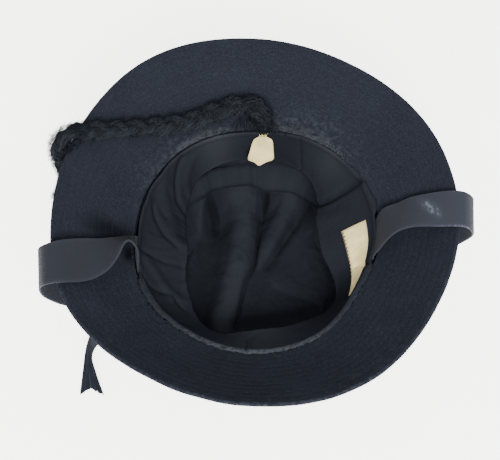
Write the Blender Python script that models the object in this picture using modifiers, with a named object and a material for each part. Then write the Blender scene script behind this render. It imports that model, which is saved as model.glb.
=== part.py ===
"""A brimmed sailor's cap of dark blue wool, lying upside down on its soft crown.

Metres, +Z up. The origin is the centre of the flat patch on which the crown rests. The opening
faces up, +X is the wearer's right and +Y is the back of the head. The wide elastic chin strap is
turned out over the brim on both sides and passes round the front of the crown.
"""

import math
from collections import namedtuple

import bmesh
import bpy
from mathutils import Vector

# Driving dimensions
MM = 0.001
CROWN_DEPTH = 100 * MM
BRIM_RISE = 40 * MM
BRIM_CURVE = 1.1
WOOL = 2.0 * MM
BRIM_CLOTH = 3.0 * MM
THIN_CLOTH = 1.0 * MM
WEBBING = 1.5 * MM
GAP = 0.3 * MM
GORES = 6
SEGMENTS = 54

# The crown's outer face stands this far outside the edge of the opening.
CROWN_STEP = 3.3 * MM
SEAM_DEPTH = 1.0 * MM
GORE_PUFF = 1.2 * MM
# The rings of the resting patch and of the lining's floor, as shares of the patch's radius.
FLOOR_RINGS = (0.6, 0.0)
LINING_FLOOR_RINGS = (0.84, 0.67, 0.5, 0.33, 0.16, 0.0)

# The brim's rows, as shares of its width.
BRIM_ROWS = (0.0, 0.1, 0.3, 0.5, 0.7, 0.87, 1.0)

# The inner sweatband hangs from the rim and leans in.
BAND_ROWS = (0.0, 0.3, 0.65, 1.0)
BAND_TOP = 0.3 * MM
LEAN_CURVE = 1.25
DROP_CURVE = 0.9

# The ribbon round the foot of the crown, by its heights above the resting face.
RIBBON_ROWS = (93 * MM, 85 * MM, 70 * MM, 66 * MM)
BOW_ANGLE = 196
BOW_HEIGHT = 80 * MM
BOW_WIDTH = 23 * MM
KNOT_SIZE = (11 * MM, 13 * MM, 25 * MM)
KNOT_REST = 0.8 * MM
KNOT_EDGE = 3 * MM
LOOP_LENGTH = 38 * MM
LOOP_DEPTH = 9 * MM
LOOP_REST = 1.7 * MM
LOOP_POINTS = 16
# How full the loop is near the knot, and how wide the ribbon is gathered there, as shares.
LOOP_NECK_DEPTH = 0.4
LOOP_NECK_WIDTH = 0.75

# The chin strap passes through the gap between the sweatband and the brim's edge.
STRAP_INSET = 1.25 * MM
STRAP_BOW = 0.95
STRAP_SEWN_HEIGHTS = (77 * MM, 90 * MM, 100.5 * MM)
PLAIT_POINTS = 42

# Widths in millimetres at each angle in degrees round the opening: the opening's radius, how far
# the brim reaches past it, and how far the sweatband stands off, leans in and hangs down.
Sector = namedtuple("Sector", "angle opening overhang stand_off lean drop")
SECTORS = (
    Sector(0, 90.0, 51.3, 3.2, 37, 28),
    Sector(30, 91.0, 51.0, 1.4, 35, 30),
    Sector(60, 91.0, 49.8, 1.4, 9, 36),
    Sector(90, 88.5, 56.5, 2.0, 1, 36),
    Sector(120, 90.0, 59.6, 2.0, 5, 38),
    Sector(150, 88.0, 55.4, 2.0, 24, 34),
    Sector(180, 87.0, 54.3, 2.8, 33, 28),
    Sector(210, 91.0, 54.6, 2.6, 30, 32),
    Sector(240, 90.0, 51.3, 1.4, 20, 38),
    Sector(270, 91.0, 51.3, 1.4, 28, 33),
    Sector(300, 90.0, 55.3, 1.4, 25, 36),
    Sector(330, 85.0, 56.0, 2.0, 14, 40),
)

# The crown's outline in millimetres of height, with its half width across the head and along it
# as shares of the opening's. The last row is the edge of the flat resting patch.
Level = namedtuple("Level", "height across along")
LEVELS = (
    Level(96.8, 1.00, 1.00),
    Level(85, 1.015, 1.02),
    Level(70, 1.02, 1.03),
    Level(50, 0.99, 1.02),
    Level(32, 0.93, 0.98),
    Level(17, 0.84, 0.90),
    Level(6.5, 0.73, 0.80),
    Level(1.5, 0.65, 0.72),
    Level(0, 0.58, 0.66),
)

# Folds that stand up in the lining's floor: both ends of each crest, half width and height in mm.
Fold = namedtuple("Fold", "start end half_width height")
FOLDS = (
    Fold((-16, 78), (-14, 30), 11, 9),
    Fold((-14, 30), (-32, -34), 11, 11),
    Fold((40, 70), (12, 26), 9, 7),
    Fold((20, -2), (60, -24), 8, 5),
)

# The strap's two edges in millimetres, from the left hole over the brim, under it, round the front
# of the crown and back over the brim to the right hole.
Station = namedtuple("Station", "far near")
STRAP_ROUTE = (
    Station((-88.5, -4, 106), (-82.6, -24.5, 124)),
    Station((-92.5, -6, 109), (-86.8, -20.5, 131)),
    Station((-97.5, -8, 112), (-91.2, -22.5, 132)),
    Station((-104, -11, 117), (-95.6, -33, 131)),
    Station((-110, -14.5, 123), (-102, -41.2, 128.5)),
    Station((-118, -17.5, 129.5), (-110.8, -47.2, 127.5)),
    Station((-127, -22, 138), (-120.3, -52.4, 133)),
    Station((-136, -27.5, 146), (-132.2, -58, 144)),
    Station((-145, -30.5, 145), (-142, -60, 144.5)),
    Station((-149.5, -29.5, 136), (-147, -58.5, 134)),
    Station((-147, -28, 125), (-146, -58.5, 121.5)),
    Station((-139, -29, 117), (-138, -59.5, 112.5)),
    Station((-122, -33, 108), (-126, -61, 103)),
    Station((-105, -52, 101), (-114, -73, 85)),
    Station((-88, -70, 94), (-93, -80, 67)),
    Station((-64, -82, 91), (-67, -85, 62)),
    Station((-36, -94.6, 90), (-37, -95.4, 61)),
    Station((-18, -99.6, 90), (-18.5, -100.2, 61)),
    Station((0, -101.4, 90), (0, -101.9, 61)),
    Station((23, -99.2, 90), (23.5, -99.8, 61)),
    Station((45, -91.5, 90), (46, -92.5, 61)),
    Station((76, -71, 91), (79, -74, 62)),
    Station((96, -52, 95), (104, -64, 69)),
    Station((107, -32, 101), (118, -54, 86)),
    Station((121, -2, 106), (126, -29, 100)),
    Station((137, 12, 112), (137, -16, 107)),
    Station((146.5, 13, 118), (146.0, -14, 115)),
    Station((151.8, 12.5, 128), (151.4, -15.0, 127)),
    Station((152.4, 9.5, 138.5), (149.8, -18.5, 140.5)),
    Station((147.4, 10.0, 145), (145.2, -18, 146.5)),
    Station((141.2, 12.1, 144.5), (139.6, -16.7, 146.5)),
    Station((130, 15.5, 137), (127.5, -13, 139)),
    Station((112.6, 19, 123), (111.5, -9, 131)),
    Station((102.6, 17.6, 116), (100.5, -10.5, 127)),
    Station((94, 16.5, 111.5), (93.5, -13, 119)),
    Station((90, 14, 106), (88.8, -15.5, 109)),
)
STRAP_ENDS = ((181, 198), (7.5, -11.5))

# The ribbon's two tails: edges of each section in millimetres, down from the bow.
FRONT_TAIL = (
    Station((-98, -30, 64), (-93, -46, 64)),
    Station((-108, -38, 48), (-101, -54, 46)),
    Station((-121, -43, 34), (-117.5, -56, 30)),
    Station((-128.5, -55, 21.5), (-124.2, -62, 17.5)),
    Station((-131.5, -72, 12), (-121, -74, 10)),
    Station((-133.5, -89, 5.5), (-115, -89, 4)),
)
BACK_TAIL = (
    Station((-99, -10, 64), (-98, -27, 64)),
    Station((-104, -11, 44), (-103, -29, 43)),
    Station((-106, -13, 24), (-105, -31, 23)),
    Station((-106, -15, 8), (-105, -33, 7.5)),
)
TAIL_NOTCH = 8 * MM

# The plait's middle line and radius in millimetres, from the back of the opening to its free end.
Bend = namedtuple("Bend", "x y z radius")
PLAIT_ROUTE = (
    Bend(7.0, 84.0, 104.6, 3.2),
    Bend(6.5, 89.5, 109.5, 6.5),
    Bend(4.5, 95.5, 115.0, 8.0),
    Bend(-3.0, 99.5, 118.0, 8.5),
    Bend(-14.0, 99.2, 118.2, 8.5),
    Bend(-30.2, 93.6, 116.8, 8.4),
    Bend(-48.8, 86.3, 116.4, 8.2),
    Bend(-72.9, 78.6, 121.4, 7.8),
    Bend(-96.9, 71.0, 131.2, 7.2),
    Bend(-119.2, 61.9, 142.4, 6.6),
    Bend(-129.5, 57.3, 147.6, 5.6),
    Bend(-136.6, 53.7, 147.6, 4.8),
    Bend(-140.0, 50.6, 143.6, 4.3),
    Bend(-141.2, 48.0, 136.0, 4.2),
    Bend(-140.5, 45.5, 127.0, 4.1),
    Bend(-139.0, 42.5, 117.0, 4.0),
    Bend(-138.0, 39.5, 107.0, 3.9),
    Bend(-138.5, 36.5, 98.0, 3.6),
)

# The blank name tape lies on the sweatband between these angles and shares of its depth.
LABEL_ANGLES = (10, -37)
LABEL_SHARES = (0.18, 0.6)
LABEL_OFFSET = 1.35 * MM

# The small label at the back: its outline in millimetres, right and down from its top.
BACK_LABEL_OUTLINE = (
    (-2, 0.5), (5, 1), (8.5, 4), (9.5, 14), (9.5, 23), (-1.5, 30.5), (-10, 22.5), (-6.5, 4.5),
)
BACK_LABEL_TOP = Vector((4.6, 83.4, 99.5)) * MM
BACK_LABEL_LEAN = 16


def around(column, angle):
    """A sector column at any angle in degrees, smoothly through the table's rows."""
    step = angle / (360 / len(SECTORS))
    index = math.floor(step)
    share = step - index
    before, low, high, after = (
        getattr(SECTORS[(index + shift) % len(SECTORS)], column) for shift in (-1, 0, 1, 2)
    )
    bend = 2 * before - 5 * low + 4 * high - after + share * (3 * (low - high) + after - before)
    return (low + 0.5 * share * (high - before + share * bend)) * MM


def through(points, share):
    """A point on the smooth curve through a list of points, for a share from 0 to 1."""
    step = share * (len(points) - 1)
    index = min(int(step), len(points) - 2)
    part = step - index
    low, high = Vector(points[index]), Vector(points[index + 1])
    before = Vector(points[index - 1]) if index else 2 * low - high
    after = Vector(points[index + 2]) if index + 2 < len(points) else 2 * high - low
    bend = 2 * before - 5 * low + 4 * high - after + part * (3 * (low - high) + after - before)
    return low + 0.5 * part * (high - before + part * bend)


def polar(angle, radius, height):
    turn = math.radians(angle)
    return Vector((radius * math.cos(turn), radius * math.sin(turn), height))


def crown_ring(angle, row):
    """Radius and height of the crown's outer face in one row of LEVELS."""
    level = LEVELS[row]
    turn = math.radians(angle)
    share = level.across * math.cos(turn) ** 2 + level.along * math.sin(turn) ** 2
    radius = (around("opening", angle) + CROWN_STEP) * share
    gore = abs(math.sin(math.radians((angle - 90) * GORES / 2)))
    fullness = math.sin(math.pi * row / (len(LEVELS) - 1))
    radius += (GORE_PUFF * gore - SEAM_DEPTH * (1 - gore) ** 3) * fullness
    return radius, level.height * MM


def crown_radius(angle, height):
    """The crown's outer radius at any height, straight between its rows."""
    rings = [crown_ring(angle, row) for row in range(len(LEVELS))]
    for (high_radius, high), (low_radius, low) in zip(rings, rings[1:]):
        if height >= low:
            share = (height - low) / (high - low)
            return low_radius + share * (high_radius - low_radius)
    return rings[-1][0]


def band_point(angle, share):
    """A point on the sweatband's outer face, from its top (0) to its lower edge (1)."""
    lean = around("lean", angle) * share ** LEAN_CURVE
    radius = around("opening", angle) - around("stand_off", angle) - lean
    height = CROWN_DEPTH + BAND_TOP - around("drop", angle) * share ** DROP_CURVE
    return polar(angle, radius, height)


def fold_height(x, y):
    """How far the folds raise the lining's floor at a place."""
    total = 0.0
    for fold in FOLDS:
        start, end = Vector(fold.start) * MM, Vector(fold.end) * MM
        along = end - start
        share = min(max((Vector((x, y)) - start).dot(along) / along.length_squared, 0), 1)
        away = (Vector((x, y)) - start - along * share).length / (fold.half_width * MM)
        total = max(total, fold.height * MM * math.exp(-away * away))
    return total


def material(name, colour, roughness):
    made = bpy.data.materials.new(name)
    made.use_nodes = True
    shader = made.node_tree.nodes["Principled BSDF"]
    shader.inputs["Base Color"].default_value = (*colour, 1)
    shader.inputs["Roughness"].default_value = roughness
    shader.inputs["Metallic"].default_value = 0
    return made


def add_object(name, data, cloth, collection):
    made = bpy.data.objects.new(name, data)
    made.data.materials.append(cloth)
    collection.objects.link(made)
    return made


def cloth_sheet(name, across, down, place, thickness, side, cloth, collection):
    """A grid of across by down cells whose corners place(i, j) sets, made thick to one side."""
    net = bmesh.new()
    bmesh.ops.create_grid(net, x_segments=across, y_segments=down, size=0.5)
    for corner in net.verts:
        i = round((corner.co.x + 0.5) * across)
        j = round((corner.co.y + 0.5) * down)
        corner.co = place(i, j)
    bmesh.ops.remove_doubles(net, verts=net.verts, dist=0.01 * MM)
    data = bpy.data.meshes.new(name)
    net.to_mesh(data)
    net.free()
    data.shade_smooth()
    made = add_object(name, data, cloth, collection)
    solidify = made.modifiers.new("thickness", "SOLIDIFY")
    solidify.thickness = thickness
    solidify.offset = side
    return made


def crown(cloth, collection):
    """The soft outer crown, its gores drawn in at the seams and its middle flat on the ground."""
    walls = len(LEVELS)

    def place(i, j):
        angle = 360 * i / SEGMENTS
        if j < walls:
            return polar(angle, *crown_ring(angle, j))
        radius, height = crown_ring(angle, walls - 1)
        return polar(angle, radius * FLOOR_RINGS[j - walls], height)

    rows = walls + len(FLOOR_RINGS) - 1
    return cloth_sheet("crown", SEGMENTS, rows, place, WOOL, 1, cloth, collection)


def lining_point(angle, row):
    """The lining's outer face: the crown's moved in by its cloth and a gap, with the folds."""
    last = len(LEVELS) - 1
    inset = WOOL + GAP
    if row > last:
        radius = crown_ring(angle, last)[0] * LINING_FLOOR_RINGS[row - last - 1]
        place = polar(angle, radius, inset)
        return place + Vector((0, 0, fold_height(place.x, place.y)))
    radius, height = crown_ring(angle, row)
    above = crown_ring(angle, max(row - 1, 0))
    if row < last:
        below = crown_ring(angle, row + 1)
    else:
        below = (radius * LINING_FLOOR_RINGS[0], 0)
    slope = Vector((below[0] - above[0], below[1] - above[1])).normalized()
    place = polar(angle, radius + inset * slope.y, height - inset * slope.x)
    flatness = max(row - last + 2, 0) / 2
    return place + Vector((0, 0, fold_height(place.x, place.y) * flatness))


def lining(cloth, collection):
    def place(i, j):
        return lining_point(360 * i / SEGMENTS, j)

    rows = len(LEVELS) + len(LINING_FLOOR_RINGS) - 1
    return cloth_sheet("lining", SEGMENTS, rows, place, THIN_CLOTH, 1, cloth, collection)


def brim(cloth, collection):
    """The stitched brim, rising from the opening to its edge."""

    def place(i, j):
        angle = 360 * i / SEGMENTS
        share = BRIM_ROWS[j]
        radius = around("opening", angle) + around("overhang", angle) * share
        return polar(angle, radius, CROWN_DEPTH + BRIM_RISE * share**BRIM_CURVE)

    rows = len(BRIM_ROWS) - 1
    return cloth_sheet("brim", SEGMENTS, rows, place, BRIM_CLOTH, 1, cloth, collection)


def sweatband(cloth, collection):
    def place(i, j):
        return band_point(360 * i / SEGMENTS, BAND_ROWS[j])

    rows = len(BAND_ROWS) - 1
    return cloth_sheet("sweatband", SEGMENTS, rows, place, THIN_CLOTH, 1, cloth, collection)


def ribbon_band(cloth, collection):
    def place(i, j):
        angle = 360 * i / SEGMENTS
        return polar(angle, crown_radius(angle, RIBBON_ROWS[j]) + GAP, RIBBON_ROWS[j])

    rows = len(RIBBON_ROWS) - 1
    return cloth_sheet("ribbon_band", SEGMENTS, rows, place, THIN_CLOTH, -1, cloth, collection)


def bow_frame():
    """The bow's middle on the ribbon band, with the directions along and away from the crown."""
    away = polar(BOW_ANGLE, 1, 0)
    radius = crown_radius(BOW_ANGLE, BOW_HEIGHT) + GAP + THIN_CLOTH
    along = polar(BOW_ANGLE + 90, 1, 0)
    return polar(BOW_ANGLE, radius, BOW_HEIGHT), along, away


def bow_loop(name, side, cloth, collection):
    """One loop of the bow, a flattened ring of ribbon that follows the crown's curve."""
    middle, along, away = bow_frame()
    start = KNOT_SIZE[0] / 2 + GAP + THIN_CLOTH
    reach = crown_radius(BOW_ANGLE, BOW_HEIGHT)

    def place(i, j):
        turn = 2 * math.pi * i / LOOP_POINTS
        run = start + LOOP_LENGTH * (0.5 - 0.5 * math.cos(turn))
        outer = math.sin(turn / 2)
        fullness = LOOP_NECK_DEPTH + (1 - LOOP_NECK_DEPTH) * outer**2
        spread = LOOP_NECK_WIDTH + (1 - LOOP_NECK_WIDTH) * outer
        drop = run * run / (2 * reach)
        depth = LOOP_DEPTH / 2 * (1 + math.sin(turn) * fullness) + LOOP_REST - drop
        height = (j - 0.5) * BOW_WIDTH * spread
        return middle + side * run * along + depth * away + Vector((0, 0, height))

    return cloth_sheet(name, LOOP_POINTS, 1, place, THIN_CLOTH, 0, cloth, collection)


def bow_knot(cloth, collection):
    """The short wrap of ribbon that gathers the bow."""
    middle, along, away = bow_frame()
    net = bmesh.new()
    bmesh.ops.create_cube(net, size=1)
    for corner in net.verts:
        run, depth, height = (corner.co[axis] * KNOT_SIZE[axis] for axis in range(3))
        corner.co = (
            middle + run * along + (depth + KNOT_SIZE[1] / 2 + KNOT_REST) * away + Vector((0, 0, height))
        )
    bmesh.ops.recalc_face_normals(net, faces=net.faces)
    data = bpy.data.meshes.new("bow_knot")
    net.to_mesh(data)
    net.free()
    made = add_object("bow_knot", data, cloth, collection)
    bevel = made.modifiers.new("soft edges", "BEVEL")
    bevel.width = KNOT_EDGE
    bevel.segments = 2
    return made


def strip_place(stations, rows, bows=None):
    """The corner function of a strip three corners wide, laid through its stations."""
    far = [station.far for station in stations]
    near = [station.near for station in stations]

    def place(i, j):
        share = j / rows
        edges = through(far, share), through(near, share)
        middle = (edges[0] + edges[1]) / 2
        if bows:
            bow = through([(amount, 0, 0) for amount in bows], share).x
            middle += bow * Vector((middle.x, middle.y, 0)).normalized()
        return (edges[0], middle, edges[1])[i] * MM

    return place


def strap_end(angles, height):
    """One strap station in the gap behind the sweatband, at a height."""
    radii = [(around("opening", angle) - STRAP_INSET) / MM for angle in angles]
    far, near = (polar(angle, radius, height / MM) for angle, radius in zip(angles, radii))
    return Station(tuple(far), tuple(near))


def chin_strap(cloth, collection):
    """The whole loop of webbing, sewn behind the sweatband at both sides."""
    first = [strap_end(STRAP_ENDS[0], height) for height in STRAP_SEWN_HEIGHTS]
    last = [strap_end(STRAP_ENDS[1], height) for height in reversed(STRAP_SEWN_HEIGHTS)]
    stations = first + list(STRAP_ROUTE) + last
    bows = [STRAP_BOW] * len(first) + [0] * len(STRAP_ROUTE) + [STRAP_BOW] * len(last)
    rows = 2 * (len(stations) - 1)
    place = strip_place(stations, rows, bows)
    return cloth_sheet("chin_strap", 2, rows, place, WEBBING, 0, cloth, collection)


def ribbon_tail(name, stations, cloth, collection):
    """One tail of the ribbon, cut to a swallow tail at its end."""
    rows = 2 * (len(stations) - 1)
    edge_place = strip_place(stations, rows)

    def place(i, j):
        corner = edge_place(i, j)
        if j == rows and i == 1:
            back = (edge_place(1, j - 1) - corner).normalized()
            corner = corner + back * TAIL_NOTCH
        return corner

    return cloth_sheet(name, 2, rows, place, THIN_CLOTH, 0, cloth, collection)


def plait(cloth, collection):
    """The plait's outer form, a soft tube from the back of the opening over the brim's edge."""
    curve = bpy.data.curves.new("plait", "CURVE")
    curve.dimensions = "3D"
    curve.bevel_depth = MM
    curve.bevel_resolution = 2
    curve.use_fill_caps = True
    spline = curve.splines.new("POLY")
    spline.points.add(PLAIT_POINTS - 1)
    middles = [(bend.x, bend.y, bend.z) for bend in PLAIT_ROUTE]
    radii = [(bend.radius, 0, 0) for bend in PLAIT_ROUTE]
    for number, point in enumerate(spline.points):
        share = number / (PLAIT_POINTS - 1)
        point.co = (*(through(middles, share) * MM), 1)
        point.radius = through(radii, share).x
    return add_object("plait", curve, cloth, collection)


def name_label(cloth, collection):
    """The blank name tape on the right of the sweatband."""
    across, down = 2, 10

    def place(i, j):
        angle = LABEL_ANGLES[0] + (LABEL_ANGLES[1] - LABEL_ANGLES[0]) * j / down
        share = LABEL_SHARES[0] + (LABEL_SHARES[1] - LABEL_SHARES[0]) * i / across
        corner = band_point(angle, share)
        slope = band_point(angle, LABEL_SHARES[1]) - band_point(angle, LABEL_SHARES[0])
        turn = band_point(angle + 1, share) - band_point(angle - 1, share)
        inward = turn.cross(slope).normalized()
        return corner + inward * (THIN_CLOTH + LABEL_OFFSET)

    return cloth_sheet("name_label", across, down, place, THIN_CLOTH, 1, cloth, collection)


def back_label(cloth, collection):
    """The small blank label that hangs at the back of the sweatband."""
    curve = bpy.data.curves.new("back_label", "CURVE")
    curve.dimensions = "2D"
    curve.fill_mode = "BOTH"
    curve.extrude = THIN_CLOTH / 2
    spline = curve.splines.new("POLY")
    spline.points.add(len(BACK_LABEL_OUTLINE) - 1)
    spline.use_cyclic_u = True
    for point, (right, down) in zip(spline.points, BACK_LABEL_OUTLINE):
        point.co = (right * MM, -down * MM, 0, 1)
    made = add_object("back_label", curve, cloth, collection)
    made.location = BACK_LABEL_TOP
    made.rotation_euler = (math.radians(90 - BACK_LABEL_LEAN), 0, 0)
    return made


def main():
    for old in list(bpy.data.objects):
        bpy.data.objects.remove(old)
    collection = bpy.data.collections.new("Sailor cap")
    bpy.context.scene.collection.children.link(collection)

    wool = material("navy wool", (0.021, 0.025, 0.042), 0.95)
    sateen = material("black sateen", (0.010, 0.012, 0.019), 0.6)
    ribbon = material("black ribbon", (0.012, 0.014, 0.020), 0.55)
    webbing = material("grey elastic webbing", (0.046, 0.053, 0.072), 0.85)
    yarn = material("dark woollen yarn", (0.012, 0.014, 0.016), 1.0)
    tape = material("cream tape", (0.68, 0.62, 0.42), 0.9)

    crown(wool, collection)
    brim(wool, collection)
    lining(sateen, collection)
    sweatband(sateen, collection)
    ribbon_band(ribbon, collection)
    bow_loop("bow_loop_front", 1, ribbon, collection)
    bow_loop("bow_loop_back", -1, ribbon, collection)
    bow_knot(ribbon, collection)
    ribbon_tail("ribbon_tail_front", FRONT_TAIL, ribbon, collection)
    ribbon_tail("ribbon_tail_back", BACK_TAIL, ribbon, collection)
    chin_strap(webbing, collection)
    plait(yarn, collection)
    name_label(tape, collection)
    back_label(tape, collection)


main()
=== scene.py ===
"""The looks of a brimmed sailor's cap of dark blue wool that lies upside down on its soft crown.

Metres, +Z up, in the solids' own frame: the origin is the centre of the crown's resting patch, the
opening faces up, +X is the wearer's right and +Y is the back of the head. Each piece, or group of
like pieces, is one operator, and the panel lists them in the order in which they are made.
"""

import math
import random
from collections import namedtuple
from functools import lru_cache, partial

import bmesh
import bpy
from bpy.props import FloatProperty, FloatVectorProperty, IntProperty, PointerProperty
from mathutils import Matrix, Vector, noise


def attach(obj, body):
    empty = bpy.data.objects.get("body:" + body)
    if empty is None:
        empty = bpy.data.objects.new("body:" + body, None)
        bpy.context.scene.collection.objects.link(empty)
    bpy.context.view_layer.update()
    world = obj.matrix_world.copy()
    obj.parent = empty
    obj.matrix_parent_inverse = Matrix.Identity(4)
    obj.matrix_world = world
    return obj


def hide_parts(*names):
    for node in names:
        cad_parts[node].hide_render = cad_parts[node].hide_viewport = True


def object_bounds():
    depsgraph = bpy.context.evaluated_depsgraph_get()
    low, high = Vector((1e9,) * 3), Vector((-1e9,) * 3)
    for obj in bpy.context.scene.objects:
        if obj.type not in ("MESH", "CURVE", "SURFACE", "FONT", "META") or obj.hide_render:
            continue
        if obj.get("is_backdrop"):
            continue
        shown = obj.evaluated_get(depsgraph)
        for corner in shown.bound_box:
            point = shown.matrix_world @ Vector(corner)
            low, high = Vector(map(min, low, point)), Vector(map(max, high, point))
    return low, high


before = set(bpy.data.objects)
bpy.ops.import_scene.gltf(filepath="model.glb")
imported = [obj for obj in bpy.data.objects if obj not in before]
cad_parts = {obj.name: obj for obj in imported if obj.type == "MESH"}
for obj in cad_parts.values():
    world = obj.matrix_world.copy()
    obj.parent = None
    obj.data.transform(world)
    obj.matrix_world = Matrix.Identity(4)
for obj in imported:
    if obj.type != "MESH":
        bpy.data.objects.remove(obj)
CAD_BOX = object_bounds()

bl_info = {
    "name": "Sailor cap",
    "version": (1, 0, 0),
    "blender": (4, 5, 0),
    "location": "View3D > Sidebar > Sailor cap",
    "description": "A brimmed wool cap with a lining, elastic chin strap, ribbon bow and yarn plait",
    "category": "Object",
}

# Driving dimensions, the same as the solids'
MM = 0.001
CROWN_DEPTH = 100 * MM
BRIM_RISE = 40 * MM
BRIM_CURVE = 1.1
WOOL = 2.0 * MM
BRIM_CLOTH = 3.0 * MM
WEBBING = 1.5 * MM
GAP = 0.3 * MM
GORES = 6
GORE_PUFF = 1.2 * MM
SEAM_DEPTH = 1.0 * MM
CROWN_STEP = 3.3 * MM
BAND_TOP = 0.3 * MM
LEAN_CURVE = 1.25
DROP_CURVE = 0.9
RIBBON_HEIGHTS = (93 * MM, 66 * MM)
BOW_ANGLE = 196
BOW_HEIGHT = 80 * MM
BOW_WIDTH = 23 * MM
KNOT_SIZE = (11 * MM, 13 * MM, 25 * MM)
KNOT_REST = 0.8 * MM
LOOP_LENGTH = 38 * MM
LOOP_DEPTH = 9 * MM
LOOP_REST = 1.7 * MM
STRAP_INSET = 1.25 * MM
STRAP_BOW = 0.95
STRAP_SEWN_HEIGHTS = (77 * MM, 90 * MM, 100.5 * MM)
STRAP_ENDS = ((181, 198), (7.5, -11.5))
BACK_LABEL_TOP = Vector((4.6, 83.4, 99.5)) * MM
BACK_LABEL_LEAN = 16

# Thin cloths of the visible surfaces
SATEEN = 0.8 * MM
RIBBON = 0.7 * MM
TAPE = 0.5 * MM

# Unevenness of the cloths, in millimetres: the crown's dents and how far they tend inwards, the
# brim's waves, and how deep and wide a row of stitches is and how far the brim puffs between rows
DENT_DEPTH = 1.6
DENT_BIAS = 0.3
BRIM_WAVE = 0.7
BRIM_LUMPS = 0.28
QUILT_DEPTH = 0.13
QUILT_WIDTH = 0.2
QUILT_PUFF = 0.04

# Widths in millimetres at each angle in degrees round the opening: the opening's radius, how far
# the brim reaches past it, and how far the sweatband stands off, leans in and hangs down.
Sector = namedtuple("Sector", "angle opening overhang stand_off lean drop")
SECTORS = (
    Sector(0, 90.0, 51.3, 3.2, 37, 28),
    Sector(30, 91.0, 51.0, 1.4, 35, 30),
    Sector(60, 91.0, 49.8, 1.4, 9, 36),
    Sector(90, 88.5, 56.5, 2.0, 1, 36),
    Sector(120, 90.0, 59.6, 2.0, 5, 38),
    Sector(150, 88.0, 55.4, 2.0, 24, 34),
    Sector(180, 87.0, 54.3, 2.8, 33, 28),
    Sector(210, 91.0, 54.6, 2.6, 30, 32),
    Sector(240, 90.0, 51.3, 1.4, 20, 38),
    Sector(270, 91.0, 51.3, 1.4, 28, 33),
    Sector(300, 90.0, 55.3, 1.4, 25, 36),
    Sector(330, 85.0, 56.0, 2.0, 14, 40),
)

# The crown's outline in millimetres of height, with its half width across the head and along it
# as shares of the opening's. The last row is the edge of the flat resting patch.
Level = namedtuple("Level", "height across along")
LEVELS = (
    Level(96.8, 1.00, 1.00),
    Level(85, 1.015, 1.02),
    Level(70, 1.02, 1.03),
    Level(50, 0.99, 1.02),
    Level(32, 0.93, 0.98),
    Level(17, 0.84, 0.90),
    Level(6.5, 0.73, 0.80),
    Level(1.5, 0.65, 0.72),
    Level(0, 0.58, 0.66),
)

# A fold of the lining's floor: the points of its crest, the widths over which it falls on its left
# and right as the crest is followed, all in millimetres, and its tone: how pale its crest is, partly
# rubbing and partly painted light, with painted shade in the hollows off it.
FloorFold = namedtuple("FloorFold", "crest left right tone")
FLOOR_FOLDS = (
    FloorFold(
        (
            (-13, 86, 24), (-9, 72, 18), (-9, 58, 14), (-10, 42, 12), (-13, 20, 11), (-18, -2, 10),
            (-26, -31, 8.5),
        ),
        10.5, 11.5, 0.75,
    ),
    FloorFold(((32, 79, 22), (27, 69, 17), (19, 54, 12), (12, 38, 9.5), (6, 25, 7)), 7, 8.5, 0.6),
    FloorFold(((38, 38, 7), (50, 14, 7)), 17, 18, 0.42),
    FloorFold(((17, 3, 5.5), (34, -2.5, 6), (43, -7, 6.5), (52, -14, 7), (60, -24, 9)), 13, 3.5, 0.5),
    FloorFold(((-58, 62, 20), (-56, 44, 13), (-53, 22, 8), (-53, -4, 8)), 8, 11, 0.45),
    FloorFold(((12, -14, 4), (30, -24, 4)), 8, 8, 0.2),
)
# How far in millimetres the lining's floor stands off the crown between its folds
FLOOR_BASE = 2.2
# A fold or a groove of a sheet: the points of its crest, its widths on the left and right, and its
# height, all in millimetres, below 0 in a groove.
Fold = namedtuple("Fold", "crest left right height")
FLOOR_GROOVES = (
    Fold(((10.5, 88), (10.8, 74), (4.3, 56), (0.6, 22), (-7, 7), (-11, -12), (-15, -34)), 1.7, 1.7, -3.6),
    Fold(((47, 67), (33.5, 55.5), (26.8, 45.5), (16, 31), (9, 20)), 3.5, 3.5, -3.0),
    Fold(((36, -20), (20, -24), (6, -27), (-14, -30)), 5, 5, -2.6),
    Fold(((-40, 76), (-34, 60), (-34, 42), (-35, 20), (-38, -8), (-40, -30)), 7, 7, -2.0),
    Fold(((7, 84), (8, 70)), 5.5, 5.0, -3.6),
    Fold(((-34, 68), (-31, 50)), 7, 6, -2.4),
    Fold(((41, 77), (50, 68)), 5.0, 5.0, -2.0),
)
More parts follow.
